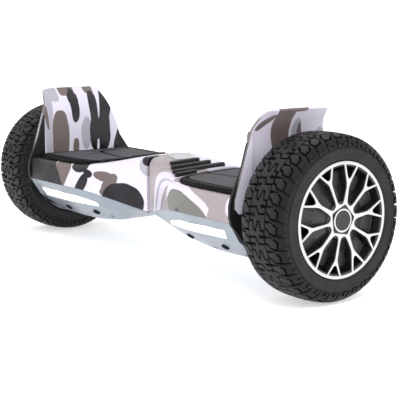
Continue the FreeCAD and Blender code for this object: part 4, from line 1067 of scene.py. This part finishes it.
# ---- tyres --------------------------------------------------------------------------------
@dataclass
class Tyre:
    """All-terrain tyre with hooked centre blocks, slanted blocks and shoulder blocks."""

    side: Side
    repeats: int = 18
    block_gap: float = 1.05
    block_bevel: float = 0.55
    hairs: int = 150
    shape: tuple[Point2, ...] = ((0, 108), (10, 107.85), (18, 107.4), (25, 106.6), (30, 105.4), (34.5, 102.6),
                                 (37.6, 98.6), (39.4, 94), (40, 89), (39.6, 83), (38.5, 77), (36, 74))
    depths: tuple[Point2, ...] = ((0, 5.0), (16, 5.0), (31, 3.6), (38, 2.8), (49, 1.6), (70, 1.6))
    tread_reach: float = 48.0
    wrap_r: float = 105.0
    cut_step: float = 4.6
    floor_steps: int = 14
    round_steps: int = 144
    hair_r: float = 0.35
    centre: Vector = field(init=False)
    scale: float = field(init=False)
    pitch: float = field(init=False)
    stations: list[float] = field(init=False)
    normals: list[Vector] = field(init=False)

    def __post_init__(self) -> None:
        """Measures the section and reads the wheel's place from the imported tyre."""
        low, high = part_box("right_tyre")
        self.centre = Vector(((low.x + high.x) / 2, 0.0, (low.z + high.z) / 2))
        self.scale = (high.z - low.z) / 2 / self.shape[0][1]
        points = [Vector(p) for p in self.shape]
        runs = [b - a for a, b in zip(points, points[1:])]
        self.stations = [sum(run.length for run in runs[:i]) for i in range(len(points))]
        faces = [Vector((-run.y, run.x)).normalized() for run in runs]
        joined = zip([Vector((0, 1))] + faces, faces + [faces[-1]])
        self.normals = [(a + b).normalized() for a, b in joined]
        self.pitch = math.tau * self.wrap_r / self.repeats

    def section(self, reach: float) -> tuple[Vector, Vector]:
        """Point and outward normal on the outer section.

        Args:
            reach: millimetres along the section from the crown, negative inwards.

        Returns:
            The point (across, radius) and its normal.
        """
        far = min(abs(reach), self.stations[-1])
        i = max(k for k in range(len(self.stations) - 1) if self.stations[k] <= far)
        share = (far - self.stations[i]) / (self.stations[i + 1] - self.stations[i])
        point = Vector(self.shape[i]).lerp(Vector(self.shape[i + 1]), share)
        normal = self.normals[i].lerp(self.normals[i + 1], share).normalized()
        hand = -1.0 if reach < 0 else 1.0
        return Vector((point.x * hand, point.y)), Vector((normal.x * hand, normal.y))

    def depth(self, reach: float) -> float:
        """Tread depth at a place along the section.

        Args:
            reach: millimetres along the section from the crown, negative inwards.

        Returns:
            The depth in millimetres.
        """
        far = abs(reach)
        for (a, deep), (b, shallow) in zip(self.depths, self.depths[1:]):
            if far <= b:
                return deep + (shallow - deep) * (far - a) / (b - a)
        return self.depths[-1][1]

    def place(self, drawn: Vector) -> Vector:
        """Wraps a point of the flat tread sheet round the wheel.

        Args:
            drawn: (along the tread, across it, height) in millimetres, height 0 to 1.

        Returns:
            The point in the frame's axes.
        """
        point, normal = self.section(drawn.y)
        at = (point - normal * (self.depth(drawn.y) * (1.0 - drawn.z))) * self.scale
        angle = drawn.x / self.wrap_r
        return self.centre + Vector((at.x, at.y * math.cos(angle), at.y * math.sin(angle)))

    def outlines(self) -> list[list[Point2]]:
        """Blocks of one repeat.

        Returns:
            Outlines as (along, across) in millimetres.
        """
        half = self.pitch / 2
        eye = [(12.65 + 1.5 * math.sin(a), 6.6 + 1.5 * math.cos(a))
               for a in (math.radians(d) for d in (335, 290, 245, 200, 160, 115, 70, 25))]
        hook = [(-5.0, -15.5), (-5.0, -7.0), (4.5, -5.5), (6.0, -2.0), (-6.0, 2.0), (-4.5, 5.5), (5.0, 7.0),
                (5.0, 12.5), (12.3, 13.5), *eye, (13.0, 13.5), (half + 3, 14.5), (half + 4.0, 2.4),
                (half - 4.0, -2.4), (half - 3, -14.5)]
        slant = [(1.0, 13.0), (3.2, 20), (7.4, 23), (8.6, 29.5), (13.5, 28.4), (17.5, 33.5),
                 (half + 8.6, 33.0), (half + 7.4, 23), (half + 3.2, 20), (half + 1.0, 15.0), (12.6, 14.2),
                 (11.6, 21), (11.4, 14.1)]
        shoulder = [(8.6, 29.5), (13.5, 28.4), (17.5, 33.5), (half + 8.6, 33.0), (half + 11.0, 40),
                    (half + 12.5, self.tread_reach), (half + 5.5, self.tread_reach), (half + 4.8, 43),
                    (half + 2.2, 43), (half + 1.5, self.tread_reach - 2), (12.5, self.tread_reach - 2),
                    (11.0, 40)]
        twice = [(shape, k * half) for shape in (slant, shoulder) for k in (0, 1)]
        outer = [hook] + [[(s + shift, u) for s, u in shape] for shape, shift in twice]
        return outer + [[(self.pitch - s, -u) for s, u in shape] for shape in outer]

    def tread(self, maker: MeshMaker) -> None:
        """Raises each block, cuts it finely and wraps it round the wheel.

        Args:
            maker: the tyre's mesh.
        """
        for outline in self.outlines():
            block = maker.raised(outline, self.block_gap, self.block_bevel)
            bmesh.ops.triangulate(block, faces=block.faces)
            for axis in (Vector((1, 0, 0)), Vector((0, 1, 0))):
                values = [v.co.dot(axis) for v in block.verts]
                first, last = (math.ceil(end(values) / self.cut_step) for end in (min, max))
                for k in range(first, last):
                    bmesh.ops.bisect_plane(
                        block, geom=list(block.verts) + list(block.edges) + list(block.faces),
                        plane_co=axis * (k * self.cut_step), plane_no=axis)
            for turn in range(self.repeats):
                shift = Vector((turn * self.pitch, 0, 0))
                maker.absorb(block, lambda co, shift=shift: self.place(co + shift))
            block.free()

    def carcass(self, maker: MeshMaker) -> None:
        """Turns the body of the tyre: groove floors, ribbed side walls, beads and bore.

        Args:
            maker: the tyre's mesh.
        """
        steps = [self.tread_reach * i / self.floor_steps for i in range(self.floor_steps + 1)]
        half = [p - n * self.depth(u) for u in steps for p, n in [self.section(u)]]
        half += [self.section(self.tread_reach + 1.2)[0]]
        half += [Vector(p) for p in ((40.0, 90.0), (40.45, 89.5), (40.45, 88.7), (40.0, 88.2), (39.8, 85.5),
                                     (39.5, 82.4), (39.6, 81.9), (39.2, 80.0), (39.3, 79.4), (38.7, 77.2),
                                     (37.6, 75.2), (36.0, 74.2), (33.0, 74.0))]
        ring = half + [Vector((-p.x, p.y)) for p in reversed(half[1:])]
        profile = [(p.x * self.scale, p.y * self.scale) for p in ring]
        maker.turned(profile, self.centre, self.round_steps, closed=True)

    def vent_hairs(self, maker: MeshMaker) -> None:
        """Adds the thin rubber hairs that a mould's vents leave.

        Args:
            maker: the tyre's mesh.
        """
        dice = random.Random(7)
        for _ in range(self.hairs):
            along = dice.uniform(0, self.pitch * self.repeats)
            across = dice.choice((-1, 1)) * dice.uniform(14, 46)
            long = dice.uniform(0.35, 0.75)
            foot = Vector((along, across, 0.9))
            tip = self.place(foot + Vector((dice.uniform(-1, 1), dice.uniform(-1, 1), long)))
            base = [self.place(foot + Vector((a, b, 0))) for a, b in circle(self.hair_r, 3)]
            corners = [maker.bm.verts.new(p) for p in base + [tip]]
            for trio in ((0, 1, 3), (1, 2, 3), (2, 0, 3), (0, 2, 1)):
                maker.bm.faces.new([corners[k] for k in trio])

    def build(self) -> bpy.types.Object:
        """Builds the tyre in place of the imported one.

        Returns:
            The tyre.
        """
        maker = MeshMaker(f"{self.side.prefix}_knobbly_tyre")
        self.carcass(maker)
        self.tread(maker)
        self.vent_hairs(maker)
        made = maker.piece([TYRE_RUBBER], self.side)
        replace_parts(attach(made, self.side.wheel), f"{self.side.prefix}_tyre")
        return made


# ---- wheel covers ---------------------------------------------------------------------------
@dataclass
class WheelCover:
    """Silver ring with forked spokes, petals down in its windows painted grey as a highlight on the black
    dish floor, and a ringed eye.
    """

    side: Side
    spokes: int = 10
    phase: float = 7.0
    ring_out: float = 74.0
    ring_in: float = 70.6
    fork: tuple[float, float] = (45.0, 51.0)
    root_half: tuple[float, float] = (2.7, 1.0)
    fork_half: tuple[float, float] = (1.7, 1.6)
    root_r: float = 22.6
    arm_half: float = 0.95
    arm_turn: float = 9.0
    hub_r: float = 20.3
    eye_ring: tuple[float, float] = (14.7, 12.7)
    face_drop: float = 0.4
    edge_bevel: float = 0.35
    petal_depth: tuple[float, float] = (1.0, 7.5)
    petal: tuple[Point2, ...] = (
        (24.5, 1.5), (26.5, 4.2), (34.0, 5.8), (46.0, 8.2), (57.5, 10.4), (61.0, 8.0))
    axle_z: float = field(init=False)

    def __post_init__(self) -> None:
        """Reads the axle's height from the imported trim."""
        low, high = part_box("right_hub_trim")
        self.axle_z = (low.z + high.z) / 2

    def at(self, r: float, aside: float, turn: float) -> Vector:
        """Point beside a line from the axle.

        Args:
            r: distance along the line.
            aside: distance to its left.
            turn: the line's angle in degrees, from the rear upwards.

        Returns:
            The point on the cover's face.
        """
        return Matrix.Rotation(math.radians(turn), 2) @ Vector((r, aside))

    def flank(self, i: int, hand: float) -> list[Vector]:
        """One side of a spoke, from its root to the ring.

        Args:
            i: the spoke's number.
            hand: 1 for its left side, -1 for its right.

        Returns:
            The side's points.
        """
        turn, kind = self.phase + i * 360.0 / self.spokes, i % 2
        fork, wide = self.fork[kind], self.fork_half[kind]
        reach = self.arm_turn + math.degrees(self.arm_half / self.ring_in)
        end = self.at(self.ring_in, 0.0, turn + hand * reach)
        knee = self.at(fork, hand * wide, turn)
        bend = self.at(fork - 9.0, hand * wide * 1.05, turn)
        root = self.at(self.root_r, hand * self.root_half[kind], turn)
        return [root, bend, knee, knee.lerp(end, 0.4), knee.lerp(end, 0.94), end]

    def window(self, i: int) -> list[Vector]:
        """Window between a spoke and the next: round at the hub, crisp at the ring.

        Args:
            i: the first spoke's number.

        Returns:
            The window's outline.
        """
        left, right = self.flank(i, 1.0), self.flank(i + 1, -1.0)
        middle = self.phase + (i + 0.5) * 360.0 / self.spokes
        rim = [self.at(self.ring_in, 0.0, middle + turn) for turn in (-7.0, -3.5, 0.0, 3.5, 7.0)]
        foot = self.at(self.root_r - 2.6, 0.0, middle)
        return rounded_ring(left + rim + right[::-1] + [foot], 3)

    def notch(self, i: int) -> list[Vector]:
        """Small three-cornered window between a spoke's two arms.

        Args:
            i: the spoke's number.

        Returns:
            The window's outline.
        """
        turn = self.phase + i * 360.0 / self.spokes
        fork = self.fork[i % 2]
        arm = self.at(self.ring_in, 0.0, self.arm_turn) - Vector((fork, 0.0))
        tip = self.at(fork + self.arm_half / (arm.y / arm.length), 0.0, turn)
        reach = self.arm_turn - math.degrees(self.arm_half / self.ring_in)
        low, high = (self.at(self.ring_in, 0.0, turn + hand * reach) for hand in (-1.0, 1.0))
        rim = [self.at(self.ring_in, 0.0, turn + a) for a in (-4.0, 0.0, 4.0)]
        ring = [tip, tip.lerp(low, 0.93), low, *rim, high, high.lerp(tip, 0.07)]
        return rounded_ring(ring, 2)

    def circle(self, r: float, steps: int = 96) -> list[Vector]:
        """Points round the axle."""
        return [self.at(r, 0.0, 360.0 * i / steps) for i in range(steps)]

    def plate(self, maker: MeshMaker, loops: list[list[Vector]], low: float, high: float) -> None:
        """Adds a bevelled plate with holes.

        Args:
            maker: mesh that takes the plate.
            loops: outline and holes in millimetres.
            low: inner face, metres along X.
            high: outer face, metres along X.
        """
        bevel = self.edge_bevel * MM
        curve = bpy.data.curves.new("plate", "CURVE")
        curve.dimensions, curve.fill_mode = "2D", "BOTH"
        curve.extrude = (high - low) / 2 - bevel
        curve.bevel_depth, curve.bevel_resolution = bevel, 2
        for loop in loops:
            spline = curve.splines.new("POLY")
            spline.points.add(len(loop) - 1)
            for point, corner in zip(spline.points, loop):
                point.co = (corner.x * MM, corner.y * MM, 0.0, 1.0)
            spline.use_cyclic_u = True
        drawn = bpy.data.objects.new("plate", curve)
        mesh = drawn.to_mesh()
        sheet = bmesh.new()
        sheet.from_mesh(mesh)
        drawn.to_mesh_clear()
        bpy.data.objects.remove(drawn)
        middle = (low + high) / 2
        maker.absorb(sheet, lambda co: Vector((middle + co.z, co.x, self.axle_z + co.y)))
        sheet.free()

    def build(self) -> list[bpy.types.Object]:
        """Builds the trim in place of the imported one, and the petals behind it.

        Returns:
            The trim and the petals.
        """
        low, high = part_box("right_hub_trim")
        cap_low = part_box("right_hub_cap")[0]
        face = high.x - self.face_drop * MM
        windows = [self.window(i) for i in range(self.spokes)]
        notches = [self.notch(i) for i in range(self.spokes)]
        turns = [self.phase + 72.0 * k + turn for k in range(5) for turn in (-3.0, 3.0)]
        corners = [self.at(self.hub_r, 0.0, turn) for turn in turns]
        trim = MeshMaker(f"{self.side.prefix}_spoke_trim")
        self.plate(trim, [self.circle(self.ring_out), *windows, *notches, corners], low.x, face)
        self.plate(trim, [self.circle(r) for r in self.eye_ring], low.x, high.x)
        silver = trim.piece([TRIM], self.side)
        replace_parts(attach(silver, self.side.wheel), f"{self.side.prefix}_hub_trim")
        inner, outer = (cap_low.x + depth * MM for depth in self.petal_depth)
        petal = MeshMaker(f"{self.side.prefix}_hub_petals")
        for i in range(self.spokes):
            middle = self.phase + (i + 0.5) * 360.0 / self.spokes
            edge = [self.at(r, aside, middle) for r, aside in self.petal]
            edge += [self.at(r, -aside, middle) for r, aside in reversed(self.petal)]
            self.plate(petal, [rounded_ring(edge, 2)], inner, outer)
        # the petals' grey is a painted highlight on the black dish floor
        grey = petal.piece([PETAL_HIGHLIGHT_GREY], self.side)
        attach(grey, self.side.wheel)
        return [silver, grey]


# ---- foot mats -----------------------------------------------------------------------------
@dataclass
class FootMat:
    """Rubber mat: a rounded black border round plates, with grooves between them whose walls and floor take
    the same black as painted shade.
    """

    side: Side
    outline: tuple[Point2, ...] = (
        (250, -76), (250, -50), (250, 50), (250, 76), (247, 83), (240, 84), (210, 83.8), (178, 83), (150, 81),
        (128, 77.5), (96, 70), (84, 63), (79, 54), (80, 40), (85, 14), (91, -14), (98, -40), (107, -60),
        (114, -71), (128, -77.5), (150, -81), (178, -83), (210, -83.8), (240, -84), (247, -83))
    levels: tuple[Point2, ...] = (
        (0.0, -5.5), (0.0, -1.9), (0.5, -0.8), (1.5, -0.15), (2.8, 0.05), (7.0, 0.05), (7.8, -0.3),
        (8.2, -1.9))
    front_plate: tuple[Point2, ...] = (
        (102, -18), (109, -40), (116, -55), (124, -63), (138, -67.5), (160, -70.5), (190, -72), (233, -73),
        (239, -72), (240, -66), (240, 0), (240, 64), (239, 70), (236, 71.5), (231, 71.5), (229, 66),
        (229, 42), (226, 19), (216, 4.5), (206, 1.2), (203, 0.2), (193, -33), (190, -32.2), (199, -0.8),
        (196, -1.6), (180, -4.2), (150, -8.5), (116, -13), (106, -14.5))
    rear_plate: tuple[Point2, ...] = (
        (223, 66), (221, 71), (216, 72), (180, 71), (152, 69.5), (130, 66), (104, 60), (94, 55.5), (91, 50),
        (92, 41), (96, 17), (99, -5), (102, -9), (108, -9.5), (149, -3.5), (195, 3.5), (211, 9.5), (218, 22),
        (221, 42))
    plate_lift: float = 0.25
    plate_drop: float = 2.4

    def build(self) -> bpy.types.Object:
        """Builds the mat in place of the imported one.

        Returns:
            The mat.
        """
        low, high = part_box("right_foot_mat")
        maker = MeshMaker(f"{self.side.prefix}_grooved_mat")
        ring = [Vector(p) * MM for p in self.outline]
        ring = rounded_ring(ring, 3)
        rows = []
        for inward, height in self.levels:
            moved = offset_ring(ring, inward * MM)
            rows.append([Vector((p.x, p.y, high.z + height * MM)) for p in moved])
        # the border and the field's floor take the black rubber; on the floor between the plates it is
        # painted groove shade
        maker.skin(rows, index=1)
        maker.lid(rows[0], 1)
        maker.lid(rows[-1], 1)
        self.plates(maker, high.z)
        made = maker.piece([MAT_RUBBER, MAT_EDGE_AND_GROOVE_SHADE], self.side)
        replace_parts(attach(made, self.side.mat), f"{self.side.prefix}_foot_mat")
        LOG.info("%s spans %.0f mm", made.name, (high.x - low.x) / MM)
        return made

    def plates(self, maker: MeshMaker, top: float) -> None:
        """Raises the field's front and rear plates, with a groove between them; their walls take the black
        rubber as painted shade.

        Args:
            maker: the mat's mesh.
            top: height of the mat's top in metres.
        """
        for outline in (self.front_plate, self.rear_plate):
            ring = rounded_ring([Vector(p) for p in outline], 2)
            # wall=1 gives the plates' walls the black rubber, as painted shade in the grooves
            block = maker.raised([tuple(p) for p in ring], 0.05, 0.5, wall=1)
            maker.absorb(block, lambda co: Vector((
                co.x * MM, co.y * MM, top + self.plate_lift * MM - self.plate_drop * MM * (1.0 - co.z))))
            block.free()


# ---- middle seam ---------------------------------------------------------------------------------
@dataclass
class TwistSeal:
    """Ribbed rubber ring round the pivot, in the gap between the two halves."""

    profile: tuple[Point2, ...] = (
        (-2.4, 17.0), (-2.4, 33.0), (-1.9, 34.2), (-1.2, 34.6), (-0.6, 33.6), (0.0, 33.2), (0.6, 33.6),
        (1.2, 34.6), (1.9, 34.2), (2.4, 33.0), (2.4, 17.0))
    steps: int = 72

    def build(self) -> bpy.types.Object:
        """Builds the ring on the left half.

        Returns:
            The ring.
        """
        low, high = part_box("pivot_shaft")
        maker = MeshMaker("twist_seal")
        centre = Vector((0.0, (low.y + high.y) / 2, (low.z + high.z) / 2))
        maker.turned([(t * MM, r * MM) for t, r in self.profile], centre, self.steps, closed=True)
        made = maker.piece([MAT_EDGE_AND_GROOVE_SHADE])
        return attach(made, Side.LEFT.half)


# ---- belly ---------------------------------------------------------------------------------------
@dataclass
class BellyFeet:
    """Low rubber buttons along both edges of one half's belly."""

    side: Side
    spots: tuple[Point2, ...] = ((123, -58), (203, -60), (123, 58), (203, 60))
    profile: tuple[Point2, ...] = ((-2.4, 5.4), (-0.4, 6.0), (1.2, 5.8), (2.2, 4.8), (2.6, 3.0))
    steps: int = 28

    def build(self) -> bpy.types.Object:
        """Sets each button on the shell, square to the surface under it.

        Returns:
            The buttons of one half.
        """
        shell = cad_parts["right_lower_shell"]
        maker = MeshMaker(f"{self.side.prefix}_belly_feet")
        for x, y in self.spots:
            struck, spot, normal, _ = shell.ray_cast(Vector((x * MM, y * MM, 0.0)), Vector((0.0, 0.0, 1.0)))
            if not struck:
                raise ValueError(f"no shell above {x}, {y}")
            turn = normal.to_track_quat("Z", "Y")
            rows = [[spot + turn @ Vector((a, b, t)) * MM for a, b in circle(r, self.steps)]
                    for t, r in self.profile]
            maker.skin(rows)
            maker.lid(rows[0])
            maker.lid(rows[-1])
        made = maker.piece([MAT_EDGE_AND_GROOVE_SHADE], self.side)
        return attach(made, self.side.half)


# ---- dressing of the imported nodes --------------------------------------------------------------
@dataclass
class PackedNodes:
    """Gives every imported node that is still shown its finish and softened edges."""

    rounded: dict[str, float] = field(default_factory=lambda: {"grip_ribs": 1.1})

    def build(self) -> None:
        """Dresses each node by the part of its name after the side."""
        for name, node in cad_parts.items():
            plain = name.replace("left_", "").replace("right_", "")
            node.data.materials.clear()
            node.data.materials.append(NODE_FINISH[plain].material())
            if plain in self.rounded:
                bevel = node.modifiers.new("rounded edges", "BEVEL")
                bevel.width = self.rounded[plain] * MM
                bevel.segments = 3
                bevel.limit_method = "ANGLE"
                bevel.angle_limit = math.radians(40.0)
        LOG.info("dressed %d packed nodes", len(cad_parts))


# ---- studio ----------------------------------------------------------------------------------------
@dataclass
class Studio:
    """Pale floor that curves up into a bowl, three soft lights and the camera."""

    eye: tuple[float, float, float] = (1.3258, -0.9558, 0.3517)
    tilt: float = -9.19
    heading: float = 52.78
    lens: float = 99.1
    floor_steps: int = 96
    aim: tuple[float, float, float] = (0.0, 0.0, 0.1)
    bowl: tuple[Point2, ...] = ((0.02, 0.0), (1.0, 0.0), (3.0, 0.0), (5.0, 0.0), (6.0, 0.05), (7.0, 0.3),
                                (7.6, 0.7), (7.8, 1.1))
    lamps: tuple[tuple[float, float, float, float, float], ...] = (
        (2.0, -1.2, 2.6, 1.2, 26.0), (-2.6, -1.6, 1.8, 1.6, 6.0), (0.0, 0.8, 3.0, 2.4, 10.0))

    def build(self) -> None:
        """Builds floor, lights, world and camera."""
        self.floor()
        for x, y, z, size, power in self.lamps:
            light = bpy.data.lights.new("soft_box", "AREA")
            light.energy, light.size = power, size
            lamp = bpy.data.objects.new("soft_box", light)
            lamp.location = (x, y, z)
            lamp.rotation_euler = (Vector(self.aim) - lamp.location).to_track_quat("-Z", "Y").to_euler()
            bpy.context.scene.collection.objects.link(lamp)
        world = bpy.data.worlds.new("studio_air")
        world.use_nodes = True
        world.node_tree.nodes["Background"].inputs["Color"].default_value = (1.0, 1.0, 1.0, 1.0)
        world.node_tree.nodes["Background"].inputs["Strength"].default_value = 1.0
        bpy.context.scene.world = world
        bpy.context.scene.view_settings.view_transform = "Standard"
        camera = bpy.data.objects.new("camera", bpy.data.cameras.new("camera"))
        camera.location = self.eye
        camera.rotation_euler = Euler((math.radians(90.0 + self.tilt), 0.0, math.radians(self.heading)))
        camera.data.lens, camera.data.sensor_width = self.lens, 36.0
        bpy.context.scene.collection.objects.link(camera)
        bpy.context.scene.camera = camera

    def floor(self) -> None:
        """Turns the bowl and dresses it in matt paper."""
        maker = MeshMaker("studio_floor")
        rows = [[Vector((a, b, z)) for a, b in circle(r, self.floor_steps)] for r, z in self.bowl]
        maker.skin(rows)
        maker.lid(rows[0])
        paper = StudioPaper("studio paper", (0.96, 0.96, 0.965), 0.85, grain=400.0, relief=0.01,
                            tone_shift=0.005, edge_mm=0.01, wear=0.0, dust=0.0, scratches=0.0, specular=0.2)
        maker.piece([paper])


def report(made: bpy.types.Object) -> None:
    """Reports one piece and its size."""
    LOG.info("%s measures %.0f x %.0f x %.0f mm", made.name, *(made.dimensions / MM))


def main() -> None:
    """Builds every piece in order and reports each."""
    logging.basicConfig(level=logging.INFO)
    Studio().build()
    PackedNodes().build()
    for side in Side:
        report(Tyre(side).build())
        for made in WheelCover(side).build():
            report(made)
        report(FootMat(side).build())
        report(BellyFeet(side).build())
    report(TwistSeal().build())


if __name__ == "__main__":
    main()
